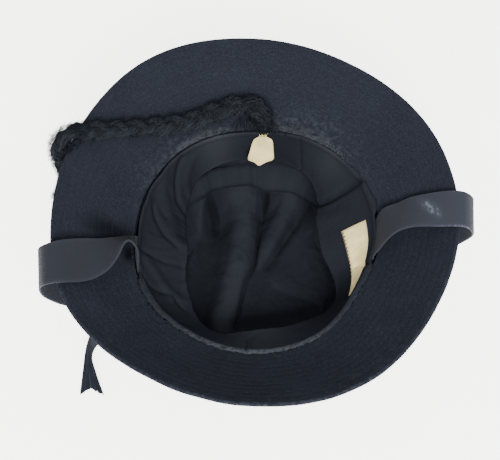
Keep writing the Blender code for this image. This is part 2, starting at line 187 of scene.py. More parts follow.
# The same on the sweatband: each point is an angle in degrees and a share of the way down.
BAND_FOLDS = (
    Fold(((144, 0.1), (151.7, 0.4), (158, 0.66), (172, 0.8), (180, 1.0)), 5.5, 5.5, 1.3),
    Fold(((192, 0.2), (198, 0.4), (213.5, 0.64), (218, 0.9)), 3.6, 3.6, 1.3),
    Fold(((8, 0.3), (20, 0.5), (27, 1.0)), 8.0, 8.0, 1.4),
    Fold(((160, 0.1), (163, 0.5), (166, 0.8)), 4.0, 5.0, 0.9),
    Fold(((124, 0.3), (131, 0.7), (134, 1.0)), 4.0, 4.0, 0.8),
)
BAND_GROOVES = (
    Fold(((130, 0.1), (140.7, 0.55), (145.6, 0.76), (147.5, 1.0)), 2.6, 2.6, -1.3),
    Fold(((160, 0.2), (167.4, 0.41), (173.8, 0.62), (178, 0.8)), 2.0, 2.0, -1.1),
    Fold(((187, 0.04), (190.2, 0.46), (192, 0.62), (193, 0.9)), 1.8, 1.8, -1.1),
    Fold(((201, 0.03), (207.6, 0.2), (212.8, 0.62), (222, 0.75)), 1.8, 1.8, -1.0),
    Fold(((29.5, 0.0), (31.8, 0.385), (34.3, 0.654), (39.1, 0.93), (41, 1.0)), 1.8, 3.0, -2.4),
    Fold(((67.5, 0.0), (66, 0.5), (64, 1.0)), 0.7, 0.7, -1.1),
    Fold(((265.6, 0.0), (265.6, 0.7)), 0.7, 0.7, -1.0),
    Fold(((268.0, 0.1), (268.0, 0.8)), 0.7, 0.7, -1.0),
    Fold(((228, 0.1), (234, 0.7)), 1.6, 1.6, -1.0),
    Fold(((344, 0.0), (346, 0.4)), 1.5, 1.5, -1.2),
)
# Millimetres of the sweatband in a degree round it and in its whole way down
BAND_RUN = Vector((1.31, 36.0))

# Where the back of the lining's wall ends in a fold over its floor: the turn from the back in
# degrees on either side, and the share of the wall's depth there.
LEDGE_TURN = 36
LEDGE_DEPTHS = (0.572, 0.532)
LEDGE_REACH = 2.6 * MM

# The strap's two edges in millimetres, from the left hole over the brim, under it, round the front
# of the crown and back over the brim to the right hole.
Station = namedtuple("Station", "far near")
STRAP_ROUTE = (
    Station((-88.5, -4, 106), (-82.6, -24.5, 124)),
    Station((-92.5, -6, 109), (-86.8, -20.5, 131)),
    Station((-97.5, -8, 112), (-91.2, -22.5, 132)),
    Station((-104, -11, 117), (-95.6, -33, 131)),
    Station((-110, -14.5, 123), (-102, -41.2, 128.5)),
    Station((-118, -17.5, 129.5), (-110.8, -47.2, 127.5)),
    Station((-127, -22, 138), (-120.3, -52.4, 133)),
    Station((-136, -27.5, 146), (-132.2, -58, 144)),
    Station((-145, -30.5, 145), (-142, -60, 144.5)),
    Station((-149.5, -29.5, 136), (-147, -58.5, 134)),
    Station((-147, -28, 125), (-146, -58.5, 121.5)),
    Station((-139, -29, 117), (-138, -59.5, 112.5)),
    Station((-122, -33, 108), (-126, -61, 103)),
    Station((-105, -52, 101), (-114, -73, 85)),
    Station((-88, -70, 94), (-93, -80, 67)),
    Station((-64, -82, 91), (-67, -85, 62)),
    Station((-36, -94.6, 90), (-37, -95.4, 61)),
    Station((-18, -99.6, 90), (-18.5, -100.2, 61)),
    Station((0, -101.4, 90), (0, -101.9, 61)),
    Station((23, -99.2, 90), (23.5, -99.8, 61)),
    Station((45, -91.5, 90), (46, -92.5, 61)),
    Station((76, -71, 91), (79, -74, 62)),
    Station((96, -52, 95), (104, -64, 69)),
    Station((107, -32, 101), (118, -54, 86)),
    Station((121, -2, 106), (126, -29, 100)),
    Station((137, 12, 112), (137, -16, 107)),
    Station((146.5, 13, 118), (146.0, -14, 115)),
    Station((151.8, 12.5, 128), (151.4, -15.0, 127)),
    Station((152.4, 9.5, 138.5), (149.8, -18.5, 140.5)),
    Station((147.4, 10.0, 145), (145.2, -18, 146.5)),
    Station((141.2, 12.1, 144.5), (139.6, -16.7, 146.5)),
    Station((130, 15.5, 137), (127.5, -13, 139)),
    Station((112.6, 19, 123), (111.5, -9, 131)),
    Station((102.6, 17.6, 116), (100.5, -10.5, 127)),
    Station((94, 16.5, 111.5), (93.5, -13, 119)),
    Station((90, 14, 106), (88.8, -15.5, 109)),
)

# The ribbon's two tails: edges of each section in millimetres, down from the bow.
FRONT_TAIL = (
    Station((-98, -30, 64), (-93, -46, 64)),
    Station((-108, -38, 48), (-101, -54, 46)),
    Station((-121, -43, 34), (-117.5, -56, 30)),
    Station((-128.5, -55, 21.5), (-124.2, -62, 17.5)),
    Station((-131.5, -72, 12), (-121, -74, 10)),
    Station((-133.5, -89, 5.5), (-115, -89, 4)),
)
BACK_TAIL = (
    Station((-99, -10, 64), (-98, -27, 64)),
    Station((-104, -11, 44), (-103, -29, 43)),
    Station((-106, -13, 24), (-105, -31, 23)),
    Station((-106, -15, 8), (-105, -33, 7.5)),
)

# The plait's middle line and radius in millimetres, from the back of the opening to its free end.
Bend = namedtuple("Bend", "x y z radius")
PLAIT_ROUTE = (
    Bend(7.0, 84.0, 104.6, 3.2),
    Bend(6.5, 89.5, 109.5, 6.5),
    Bend(4.5, 95.5, 115.0, 8.0),
    Bend(-3.0, 99.5, 118.0, 8.5),
    Bend(-14.0, 99.2, 118.2, 8.5),
    Bend(-30.2, 93.6, 116.8, 8.4),
    Bend(-48.8, 86.3, 116.4, 8.2),
    Bend(-72.9, 78.6, 121.4, 7.8),
    Bend(-96.9, 71.0, 131.2, 7.2),
    Bend(-119.2, 61.9, 142.4, 7.6),
    Bend(-129.5, 57.3, 147.6, 7.6),
    Bend(-136.6, 53.7, 147.6, 7.6),
    Bend(-140.0, 50.6, 143.6, 7.4),
    Bend(-141.2, 48.0, 136.0, 7.0),
    Bend(-140.5, 45.5, 127.0, 6.0),
    Bend(-139.0, 42.5, 117.0, 4.8),
    Bend(-138.0, 39.5, 107.0, 3.9),
    Bend(-138.5, 36.5, 98.0, 3.6),
)

# The name tape's edges as shares of the sweatband's drop, at angles in degrees.
TapeRow = namedtuple("TapeRow", "angle upper lower")
TAPE_ROWS = (
    TapeRow(10, 0.17, 0.64),
    TapeRow(-2, 0.16, 0.60),
    TapeRow(-12, 0.15, 0.55),
    TapeRow(-22, 0.13, 0.46),
    TapeRow(-29, 0.12, 0.34),
    TapeRow(-34, 0.12, 0.17),
)

# The back label's left and right edges in millimetres, from its top to its lowest corner.
LabelRow = namedtuple("LabelRow", "down left right")
BACK_LABEL_ROWS = (
    LabelRow(0, -2.5, 4.5),
    LabelRow(4, -6, 8.5),
    LabelRow(14, -8.5, 9.5),
    LabelRow(22.5, -10, 9.5),
    LabelRow(26.5, -5.5, 4.5),
    LabelRow(30.5, -2.0, -1.0),
)


def length_property(name, description, default):
    return FloatProperty(name=name, description=description, default=default, unit="LENGTH")


def colour_property(name, description, default):
    return FloatVectorProperty(name=name, description=description, default=default, subtype="COLOR")


class CapSizes(bpy.types.PropertyGroup):
    """Sizes of the fine work on the cap."""

    stitch_rows: IntProperty(
        name="Stitch rows", description="Rows of stitching round the brim", default=12, min=4, max=16
    )
    stitch_length: length_property("Stitch length", "Length of one stitch", 3.2 * MM)
    thread: length_property("Thread", "Thickness of the sewing thread", 0.32 * MM)
    nap: length_property("Nap", "Length of the loose fibres at the brim's edge", 1.3 * MM)
    plait_turn: length_property("Plait turn", "Length in which a strand crosses and comes back", 46 * MM)


class CapColours(bpy.types.PropertyGroup):
    """Colours of the cap's cloths."""

    wool: colour_property("Wool", "Crown and brim", (0.0122, 0.0141, 0.0205))
    worn: colour_property("Worn wool", "Where the nap is rubbed away", (0.042, 0.047, 0.058))
    sateen: colour_property("Sateen", "Lining and sweatband", (0.0122, 0.0139, 0.0186))
    ribbon: colour_property("Ribbon", "Band, bow and tails", (0.0070, 0.0085, 0.0128))
    webbing: colour_property("Webbing", "Elastic chin strap", (0.0148, 0.0170, 0.0238))
    yarn: colour_property("Yarn", "Woollen plait", (0.0150, 0.0180, 0.0230))
    tape: colour_property("Tape", "Name tape and back label", (0.97, 0.80, 0.38))


def sizes():
    return bpy.context.scene.cap_sizes


def colours():
    return bpy.context.scene.cap_colours


# Shapes


@lru_cache(maxsize=None)
def around(column, angle):
    """A sector column at any angle in degrees, smoothly through the table's rows."""
    step = angle / (360 / len(SECTORS))
    index = math.floor(step)
    share = step - index
    before, low, high, after = (
        getattr(SECTORS[(index + shift) % len(SECTORS)], column) for shift in (-1, 0, 1, 2)
    )
    bend = 2 * before - 5 * low + 4 * high - after + share * (3 * (low - high) + after - before)
    return (low + 0.5 * share * (high - before + share * bend)) * MM


def through(points, share):
    """A point on the smooth curve through a list of points, for a share from 0 to 1."""
    step = share * (len(points) - 1)
    index = min(int(step), len(points) - 2)
    part = step - index
    low, high = Vector(points[index]), Vector(points[index + 1])
    before = Vector(points[index - 1]) if index else 2 * low - high
    after = Vector(points[index + 2]) if index + 2 < len(points) else 2 * high - low
    bend = 2 * before - 5 * low + 4 * high - after + part * (3 * (low - high) + after - before)
    return low + 0.5 * part * (high - before + part * bend)


def polar(angle, radius, height):
    turn = math.radians(angle)
    return Vector((radius * math.cos(turn), radius * math.sin(turn), height))


def clamp(value, low=0.0, high=1.0):
    return min(max(value, low), high)


def smooth(value, low, high):
    """0 below low, 1 above high, and a soft step between them."""
    share = clamp((value - low) / (high - low))
    return share * share * (3 - 2 * share)


def bump(value, middle, width):
    """A bell of height 1 round a middle."""
    return math.exp(-(((value - middle) / width) ** 2))


def at_ends(share, width):
    """A bell of height 1 at 0 and another at 1."""
    return bump(share, 0, width) + bump(share, 1, width)


def turn_between(angle, middle):
    """The turn in degrees from a middle angle, from -180 to 180."""
    return (angle - middle + 180) % 360 - 180


def near_angle(angle, middle, spread):
    """A bell of height 1 round a direction, in degrees."""
    return bump(turn_between(angle, middle), 0, spread)


def scatter(draw, reach):
    """A random vector whose parts go up to reach either way."""
    return Vector([draw.uniform(-reach, reach) for _ in range(3)])


def ripple(x, y, z, octaves=3):
    """Smooth noise, about -1 to 1."""
    return noise.fractal(Vector((x, y, z)), 0.8, 2.1, octaves)


@lru_cache(maxsize=None)
def level_at(share):
    """Height and outline shares of the crown at a share of its wall, 0 at the rim."""
    return through([tuple(level) for level in LEVELS], share)


def bowl(angle, depth):
    """Radius and height of the crown's outer face: depth runs from 0 at the rim to 1 at the edge of
    the resting patch and to 2 at its middle."""
    height, across, along = level_at(min(depth, 1.0))
    turn = math.radians(angle)
    share = across * math.cos(turn) ** 2 + along * math.sin(turn) ** 2
    gore = abs(math.sin(math.radians((angle - 90) * GORES / 2)))
    puff = (GORE_PUFF * gore - SEAM_DEPTH * (1 - gore) ** 3) * math.sin(math.pi * min(depth, 1.0))
    radius = (around("opening", angle) + CROWN_STEP) * share + puff
    return radius * (2 - max(depth, 1.0)), max(height, 0) * MM


def seam_turn(angle):
    """The turn in degrees to the nearest seam between gores."""
    gore = 360 / GORES
    return (angle - 90 + gore / 2) % gore - gore / 2


def dents(angle, depth):
    """How far the soft wall bulges out or falls in, the same for the crown and its lining."""
    free = max(math.sin(math.pi * min(depth, 1.0)), 0) ** 0.8
    place = polar(angle, 1, 2.1 * depth)
    return (ripple(place.x * 1.3, place.y * 1.3, place.z, 2) * DENT_DEPTH - DENT_BIAS) * MM * free


@lru_cache(maxsize=None)
def brim_slope(angle, share):
    rise = BRIM_RISE * BRIM_CURVE * max(share, 0.01) ** (BRIM_CURVE - 1)
    return math.atan2(rise, around("overhang", angle))


def brim_wave(angle, share):
    """The stiffened brim is not quite even."""
    place = polar(angle, 1.6 + share, 0)
    return ripple(place.x * 1.7, place.y * 1.7, 4.0, 2) * BRIM_WAVE * MM * smooth(share, 0.05, 0.5)


def quilting(share):
    """How deep a row of stitches draws the brim in, and how far the cloth puffs between rows."""
    pitch = share * sizes().stitch_rows
    away = abs(pitch - math.floor(pitch) - 0.5) * 2
    return QUILT_DEPTH * MM * math.exp(-((away / QUILT_WIDTH) ** 2)) - QUILT_PUFF * MM * away


# A patch of the brim: the angle of its middle and its spread in degrees, its share of the brim's
# width and its reach in shares, and its tone: above 0 pale with rubbing, below 0 painted shade,
# the strap's shadow on the brim and the shade in the hollow where the strap leaves the rim
BrimPatch = namedtuple("BrimPatch", "angle spread share reach tone")
PALE_AND_SHADED_PATCHES = (
    BrimPatch(290, 85, 1.0, 0.35, 0.3),
    BrimPatch(57, 26, 0.4, 0.5, 0.17),
    # Painted shade: the strap's shadow on the brim, and the shade in the hollow under its root
    BrimPatch(181, 6, 0.3, 0.35, -0.8),
    BrimPatch(190.5, 4.5, 0.08, 0.09, -1.0),
)


def rubbed(angle, share):
    """How worn the top of the brim is: near the opening, at its edge and in a few places. Below 0 it
    is painted shade: the strap's shadow, the hollow at its root, and dark gaps at the rim.
    """
    near = bump(share, 0.0, 0.3)
    zones = 0.35 + 0.65 * max(near_angle(angle, 66, 26), near_angle(angle, 138, 30))
    frayed = bump(share, 0.035, 0.03) * max(
        near_angle(angle, 70, 11), near_angle(angle, 115, 13)
    )
    edge = bump(share, 1.0, 0.03) * (0.5 + 0.5 * near_angle(angle, 270, 60))
    patches = sum(
        tone_patch.tone * near_angle(angle, tone_patch.angle, tone_patch.spread) * bump(share, tone_patch.share, tone_patch.reach)
        for tone_patch in PALE_AND_SHADED_PATCHES
    )
    # Painted shade: dark lines in the gaps at the rim on the front left
    crack_shade = near_angle(angle, 222, 24) * bump(share, 0.035, 0.03)
    crack_shade *= clamp(3 * ripple(angle * 0.9, share * 24, 6.0))
    return min(near * zones * 0.5 + frayed * 0.8 + edge * 0.2 + patches - 1.3 * crack_shade, 1)


def brim_point(angle, share, side):
    """A point on the brim's top (side 1) or underside (side -1), with rounded edges."""
    overhang = around("overhang", angle)
    slope = brim_slope(angle, share)
    end = min(share, 1 - share) * overhang / (BRIM_CLOTH / 2)
    fullness = math.sqrt(1 - (1 - min(end, 1)) ** 2)
    half = BRIM_CLOTH / 2 * fullness - quilting(share) * smooth(end, 0.6, 1.6)
    if side > 0 and share < 0.4:
        place = polar(angle, around("opening", angle) + overhang * share, 0) / (4 * MM)
        half += ripple(place.x, place.y, 9.0) * BRIM_LUMPS * MM * bump(share, 0.08, 0.16) * fullness
    offset = side * half - BRIM_CLOTH / 2 + brim_wave(angle, share)
    radius = around("opening", angle) + overhang * share - math.sin(slope) * offset
    return polar(angle, radius, CROWN_DEPTH + BRIM_RISE * share**BRIM_CURVE + math.cos(slope) * offset)


def band_base(angle, share):
    """The sweatband's outer face without wrinkles, from its top (0) to its lower edge (1)."""
    lean = around("lean", angle) * share**LEAN_CURVE
    radius = around("opening", angle) - around("stand_off", angle) - lean
    height = CROWN_DEPTH + BAND_TOP - around("drop", angle) * share**DROP_CURVE
    return polar(angle, radius, height)


def fold_near(fold, x, y):
    """The nearest point of a fold's crest to a place in millimetres, and how far away the place is
    as a share of the fold's width on that side."""
    place, nearest, width, point = Vector((x, y)), 1e9, 1, None
    for start, end in zip(fold.crest, fold.crest[1:]):
        start, end = Vector(start), Vector(end)
        along, away = end.xy - start.xy, place - start.xy
        share = clamp(away.dot(along) / along.length_squared)
        gap = (away - along * share).length
        if gap < nearest:
            nearest, point = gap, start.lerp(end, share)
            width = fold.left if along.x * away.y > along.y * away.x else fold.right
    return point, nearest / width


def fold_rise(fold, x, y):
    """How far a fold or a groove stands up at a place in millimetres."""
    return fold.height * math.exp(-(fold_near(fold, x, y)[1] ** 2))


@lru_cache(maxsize=None)
def floor_shape(x, y, level):
    """The height in millimetres of the lining's floor at a place whose unfolded height is level,
    and how pale the floor is there: partly rubbing, partly painted light on the crests and painted
    shade in the hollows and grooves."""
    height, tone = level + FLOOR_BASE, 0.0
    for fold in FLOOR_FOLDS:
        crest, away = fold_near(fold, x, y)
        share = math.exp(-(away**3))
        height = max(height, level + FLOOR_BASE + (crest.z - level - FLOOR_BASE) * share)
        tone = max(tone, fold.tone * share)
    groove = sum(fold_rise(groove, x, y) for groove in FLOOR_GROOVES)
    # Painted shade: the grooves make the floor's tone darker
    return max(height + groove, level), min(tone + 0.14 * groove, 1)


@lru_cache(maxsize=None)
def band_folds():
    """The sweatband's folds with their crests in millimetres round it and down it."""
    def run(fold):
        return fold._replace(crest=tuple((a * BAND_RUN.x, s * BAND_RUN.y) for a, s in fold.crest))
    return [run(fold) for fold in BAND_FOLDS], [run(groove) for groove in BAND_GROOVES]


@lru_cache(maxsize=None)
def band_wrinkle(angle, share):
    """How far the gathered sweatband stands in from its smooth face."""
    folds, grooves = band_folds()
    x, y = angle * BAND_RUN.x, share * BAND_RUN.y
    left = near_angle(angle, 182, 46)
    smooth_panels = max(near_angle(angle, 105, 22), near_angle(angle, 50, 14))
    gathers = ripple(turn_between(angle, 180) / 6.5 + 1.2 * share, share * 1.8, 3.1)
    total = gathers * (0.35 + 0.75 * left) * (1 - 0.7 * smooth_panels) * share**0.7
    highest = max(fold_rise(fold, x, y) for fold in folds)
    total += highest + sum(fold_rise(groove, x, y) for groove in grooves)
    rim = ripple(angle / 5, 2.0, 8.0, 2) * 0.7 * near_angle(angle, 212, 24) * (1 - share)
    return (total + rim) * MM


def band_inner(angle, share, lift):
    """A point that stands off the sweatband's outer face, and follows its wrinkles."""
    turn = band_base(angle + 1, share) - band_base(angle - 1, share)
    fall = band_base(angle, min(share + 0.04, 1)) - band_base(angle, max(share - 0.04, 0))
    wrinkle = band_wrinkle(angle, share)
    return band_base(angle, share) + turn.cross(fall).normalized() * (wrinkle + lift)


def hem_lap(angle):
    """How far the sweatband's top laps over the brim: not at the back left, nor at the strap."""
    strap = max(
        1 - smooth(abs(turn_between(angle, 189.5)), 11, 16),
        1 - smooth(abs(turn_between(angle, -2)), 12, 17),
    )
    front = 1 - smooth(abs(turn_between(angle, 290)), 100, 112)
    uneven = 1 + 0.4 * ripple(angle * 0.3, 3.0, 1.0) + 0.35 * ripple(angle * 1.3, 1.0, 4.0, 2)
    return 0.35 * MM + (around("stand_off", angle) + 0.8 * MM) * front * (1 - strap) * uneven


def ledge_presence(angle):
    """1 where the back wall folds over the floor, 0 round the rest of the lining."""
    return 1 - smooth(abs(turn_between(angle, 86)), LEDGE_TURN - 6, LEDGE_TURN + 16)


def ledge_depth(angle):
    """The share of the wall's depth at which the back wall folds over the floor."""
    right, left = LEDGE_DEPTHS
    return right + (left - right) * smooth(turn_between(angle, 84), 0, 7)


def lining_point(angle, depth):
    """The lining's outer face: the crown's moved in by its cloth and a gap, with folds."""
    inset = WOOL + GAP
    radius, height = bowl(angle, depth)
    if depth >= 1:
        slope = Vector((-1, 0))
    else:
        before, after = bowl(angle, max(depth - 0.02, 0)), bowl(angle, min(depth + 0.02, 1))
        slope = Vector((after[0] - before[0], after[1] - before[1])).normalized()
    wall = smooth(depth, 0.0, 0.12) * (1 - smooth(depth, 0.8, 1.0))
    place = polar(angle, 1, 0)
    gathers = ripple(place.x * 5 + depth, place.y * 5, depth * 2.2) * 1.5 + 1.3
    gathers += ripple(turn_between(angle, 0) / 3.4, depth * 1.4, 5.0, 2) * 0.7
    inset += max(gathers + 1.2 * bump(seam_turn(angle), 0, 1.3), 0) * MM * wall
    back, ledge = ledge_presence(angle), ledge_depth(angle)
    inset += LEDGE_REACH * back * bump(depth, ledge, 0.14 if depth < ledge else 0.02)
    spot = polar(angle, radius + inset * slope.y + dents(angle, depth), height - inset * slope.x)
    rumple = max(ripple(spot.x * 70, spot.y * 70, 1.7) + 0.3, 0) * 1.3
    level = max(spot.z / MM, 0)
    rise = floor_shape(spot.x / MM, spot.y / MM, level)[0] - level + rumple
    foot = 0.72 - (0.71 - ledge) * back
    return spot + Vector((0, 0, rise * MM * smooth(depth, foot, foot + 0.24 - 0.19 * back)))


# Making objects


def cloth_net(name, cells, place, worn=None, scale=(1, 1)):
    """A grid of cells, across and down, whose corners place(u, v) sets. Its UV map is in metres along
    and across the cloth, and worn(u, v) sets each corner's worn attribute: wear, and on some pieces
    also painted light and shade."""
    across, down = cells
    net = bmesh.new()
    threads = net.loops.layers.uv.new("cloth")
    wear = net.verts.layers.float.new("worn")
    bmesh.ops.create_grid(net, x_segments=across, y_segments=down, size=0.5, calc_uvs=True)
    for corner in net.verts:
        u, v = clamp(corner.co.x + 0.5), clamp(corner.co.y + 0.5)
        corner.co = place(u, v)
        corner[wear] = worn(u, v) if worn else 0.0
    for face in net.faces:
        for loop in face.loops:
            share = loop[threads].uv
            loop[threads].uv = (share.x * scale[0], share.y * scale[1])
    bmesh.ops.remove_doubles(net, verts=net.verts, dist=0.005 * MM)
    return finished(name, net)


def finished(name, net):
    data = bpy.data.meshes.new(name)
    net.to_mesh(data)
    net.free()
    data.shade_smooth()
    made = bpy.data.objects.new(name, data)
    bpy.context.scene.collection.objects.link(made)
    return made


def thicken(piece, thickness, side):
    """Gives a sheet its thickness: side 1 grows it inwards, -1 outwards and 0 both ways."""
    solidify = piece.modifiers.new("thickness", "SOLIDIFY")
    solidify.thickness = thickness
    solidify.offset = side
    return piece


def dress(piece, slot, finish, *nodes):
    """Gives a piece its finish, and has it ride on the cap in place of its solids."""
    piece.data.materials.append(bpy.data.materials.get("cap " + finish) or FINISHES[finish]())
    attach(piece, "root")
    if nodes:
        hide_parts(*nodes)
    return piece


# One ring of a thread or yarn: its middle, a direction that its section keeps to, its radius, and
# how worn it is
Ring = namedtuple("Ring", "point outward radius worn")
# A stitch's rings: how high each stands as a share of the thread's radius, after the dip
STITCH_STANDS = (0.75, 0.9, 0.75)


def ring_directions(run):
    """The two directions across each ring of a run; a run that ends where it starts is closed."""
    last = len(run) - 1
    closed = (run[0].point - run[last].point).length < 0.001 * MM
    for number, ring in enumerate(run):
        ahead = run[1] if closed and number == last else run[min(number + 1, last)]
        behind = run[last - 1] if closed and number == 0 else run[max(number - 1, 0)]
        across = (ahead.point - behind.point).cross(ring.outward).normalized()
        yield across, across.cross(ahead.point - behind.point).normalized()


def joined_runs(runs):
    """The rings of all runs with their directions and the way along to each, and where runs end."""
    rings, directions, lengths, ends = [], [], [], set()
    for run in runs:
        rings.extend(run)
        directions.extend(ring_directions(run))
        lengths.append(0.0)
        for before, after in zip(run, run[1:]):
            lengths.append(lengths[-1] + (after.point - before.point).length)
        ends.add(len(rings) - 1)
    return rings, directions, lengths, ends


def threads_net(name, runs, sides):
    """Round threads or yarns, one for each run of rings: a grid is rolled round them all and cut
    between the runs. A ring of radius 0 closes an end."""
    rings, directions, lengths, ends = joined_runs(runs)
    net = bmesh.new()
    threads = net.loops.layers.uv.new("cloth")
    wear = net.verts.layers.float.new("worn")
    last = len(rings) - 1
    bmesh.ops.create_grid(net, x_segments=sides, y_segments=last, size=0.5, calc_uvs=True)
    between = [f for f in net.faces if math.floor((f.calc_center_median().y + 0.5) * last) in ends]
    bmesh.ops.delete(net, geom=between, context="FACES")
    girth = 2 * math.pi * max(ring.radius for ring in rings)
    for face in net.faces:
        for loop in face.loops:
            across, row = loop.vert.co.x + 0.5, round((loop.vert.co.y + 0.5) * last)
            loop[threads].uv = (lengths[row], across * girth)
    for corner in net.verts:
        row = round((corner.co.y + 0.5) * last)
        ring, (across, outward) = rings[row], directions[row]
        turn = 2 * math.pi * (corner.co.x + 0.5)
        corner.co = ring.point + (across * math.cos(turn) + outward * math.sin(turn)) * ring.radius
        corner[wear] = ring.worn
    bmesh.ops.remove_doubles(net, verts=net.verts, dist=0.002 * MM)
    bmesh.ops.recalc_face_normals(net, faces=net.faces)
    return finished(name, net)


def stitch_run(line, length, dip, closed=True):
    """The rings of a row of stitches along line(share), which gives a point and the way out of the
    cloth: the thread stands up in each stitch and dips between them."""
    thread = sizes().thread / 2
    total = sum((line(step / 60)[0] - line((step + 1) / 60)[0]).length for step in range(60))
    stands = (-dip, *(thread * share for share in STITCH_STANDS))
    parts = len(stands) * max(2, round(total / length))
    run = []
    for step in range(parts + 1):
        point, outward = line(step / parts)
        stand = stands[step % len(stands)]
        radius = thread if closed or 0 < step < parts else 0
        run.append(Ring(point + outward * stand, outward, radius, 0.0))
    return run


def hair_run(draw, start, heading, length, thickness, worn, curl):
    """The rings of one loose fibre, which bends a little at each of its steps."""
    side = heading.orthogonal()
    run = [Ring(start, side, 0, worn)]
    for share in (1, 0.85, 0):
        heading = (heading + scatter(draw, curl)).normalized()
        run.append(Ring(run[-1].point + heading * length / 3, side, thickness / 2 * share, worn))
    return run


# Finishes


class Wire:
    """A socket of a material's nodes: each operator adds a Math node."""

    def __init__(self, finish, socket):
        self.finish = finish
        self.socket = socket

    def maths(self, operation, first, second):
        return self.finish.node("Math", {"operation": operation}, {0: first, 1: second})

    def __add__(self, other):
        return self.maths("ADD", self, other)

    def __radd__(self, other):
        return self.maths("ADD", other, self)

    def __sub__(self, other):
        return self.maths("SUBTRACT", self, other)

    def __rsub__(self, other):
        return self.maths("SUBTRACT", other, self)

    def __mul__(self, other):
        return self.maths("MULTIPLY", self, other)

    def __rmul__(self, other):
        return self.maths("MULTIPLY", other, self)


class Finish:
    """One cloth's material, built node by node."""

    def __init__(self, name, **constants):
        self.material = bpy.data.materials.new("cap " + name)
        self.material.use_nodes = True
        self.tree = self.material.node_tree
        self.shader = self.tree.nodes["Principled BSDF"]
        for socket, value in constants.items():
            self.shader.inputs[socket.replace("_", " ")].default_value = value
        self.place = self.node("TexCoord", {}, {}, "Object")
        self.cloth = self.node("UVMap", {"uv_map": "cloth"}, {})
        # The worn attribute holds wear, and on the brim, lining, sweatband and strap also painted light
        # and shade
        self.worn = self.node("Attribute", {"attribute_name": "worn"}, {}, "Fac")

    def node(self, kind, settings, sockets, output=0):
        """Adds a node: its settings first, then the values or links of its sockets."""
        node = self.tree.nodes.new("ShaderNode" + kind)
        for name, value in settings.items():
            setattr(node, name, value)
        for name, value in sockets.items():
            self.feed(node.inputs[name], value)
        return Wire(self, node.outputs[output])

    def feed(self, socket, value):
        if isinstance(value, Wire):
            self.tree.links.new(value.socket, socket)
        elif hasattr(value, "__len__") and socket.type == "RGBA":
            socket.default_value = (*value[:3], 1)
        else:
            socket.default_value = value

    def noise(self, scale, detail=3, vector=None, roughness=0.5):
        sockets = {"Vector": vector or self.place, "Scale": scale, "Detail": detail}
        return self.node("TexNoise", {}, {**sockets, "Roughness": roughness})

    def streaks(self, vector, factors, detail=2, roughness=0.5):
        """Noise drawn out along the axes that have the smaller factors."""
        return self.noise(1, detail, self.stretched(vector, factors), roughness)

    def bands(self, factors, scale, direction="X"):
        """Fine bands across the cloth's own coordinates."""
        settings = {"wave_type": "BANDS", "bands_direction": direction}
        sockets = {"Vector": self.stretched(self.cloth, factors), "Scale": scale, "Distortion": 0.4}
        return self.node("TexWave", settings, sockets, "Fac")

    def stretched(self, vector, factors):
        """Coordinates multiplied by a factor along each axis."""
        return self.node("VectorMath", {"operation": "MULTIPLY"}, {0: vector, 1: factors})

    def step(self, value, low, high):
        """0 below low and 1 above high."""
        return self.node("MapRange", {"interpolation_type": "SMOOTHSTEP"}, {0: value, 1: low, 2: high})

    def mix(self, factor, first, second):
        return self.node("Mix", {"data_type": "RGBA"}, {0: factor, 6: first, 7: second}, 2)

    def finish(self, colour, roughness, height, strength, distance):
        """Joins the colour, roughness and relief to the shader, and gives the material."""
        self.feed(self.shader.inputs["Base Color"], colour)
        self.feed(self.shader.inputs["Roughness"], roughness)
        relief = self.node("Bump", {}, {"Height": height, "Strength": strength, "Distance": distance})
        self.feed(self.shader.inputs["Normal"], relief)
        return self.material


def toned(name, factor):
    """One of the cap's colours, made lighter or darker."""
    return tuple(part * factor for part in getattr(colours(), name))


def wool_finish():
    """Napped wool: matted fibres, cloudy colour, light lint and rubbed places, and painted shade where
    the worn attribute is below 0.
    """
    wool = Finish("wool", Specular_IOR_Level=0.02)
    clouds = wool.noise(26, 3)
    nap = wool.noise(900, 3, roughness=0.65)
    matting = wool.noise(260, 3)
    twill = wool.streaks(wool.place, (1500, 1500, 300))
    body = wool.mix(clouds, toned("wool", 0.65), toned("wool", 1.2))
    body = wool.mix(wool.step(nap, 0.38, 0.72) * 0.6, body, toned("wool", 2.2))
    patches = wool.step(matting + wool.worn * 0.26, 0.54, 0.84)
    worn = wool.step(wool.worn, 0, 1)
    body = wool.mix(wool.step(wool.noise(180, 3), 0.5, 0.66) * worn, body, toned("wool", 0.5))
    body = wool.mix(patches * worn, body, colours().worn)
    lint = wool.step(wool.noise(340, 1), 0.72, 0.78) * worn * 0.3
    body = wool.mix(lint, body, (0.16, 0.18, 0.22))
    # Painted shade where the worn attribute is below 0
    body = wool.mix(wool.step(0 - wool.worn, 0, 1), body, toned("wool", 0.22))
    height = nap * 0.5 + matting * 0.6 + twill * 0.25
    return wool.finish(body, 0.93 - patches * 0.1, height, 0.4, 0.35 * MM)


def sateen_finish():
    """Smooth cotton sateen with a faint weave, with painted shade in its hollows, and pale where it is
    rubbed and where it has painted light.
    """
    sateen = Finish("sateen", Specular_IOR_Level=0.015)
    clouds = sateen.noise(45, 3)
    slubs = sateen.streaks(sateen.cloth, (260, 1500, 1))
    creases = sateen.streaks(sateen.place, (130, 130, 90), 4, 0.6)
    # The worn attribute brings painted light and shade here as well as wear
    body = sateen.mix(sateen.worn, toned("sateen", 0.85), toned("sateen", 1.5))
    body = sateen.mix(clouds * 0.3, body, toned("sateen", 0.9))
    # Painted shade where the worn attribute is below 0
    body = sateen.mix(sateen.step(0 - sateen.worn, 0, 0.7), body, toned("sateen", 0.3))
    # Pale where worn is high: rubbing, and painted sheen and light
    rubbed = sateen.step(sateen.worn + slubs * 0.4, 1.1, 2.1)
    body = sateen.mix(rubbed * 0.8, body, (0.040, 0.044, 0.053))
    height = slubs * 0.16 + creases * 1.1
    return sateen.finish(body, 0.7 - clouds * 0.14 + rubbed * 0.15, height, 0.55, 0.8 * MM)


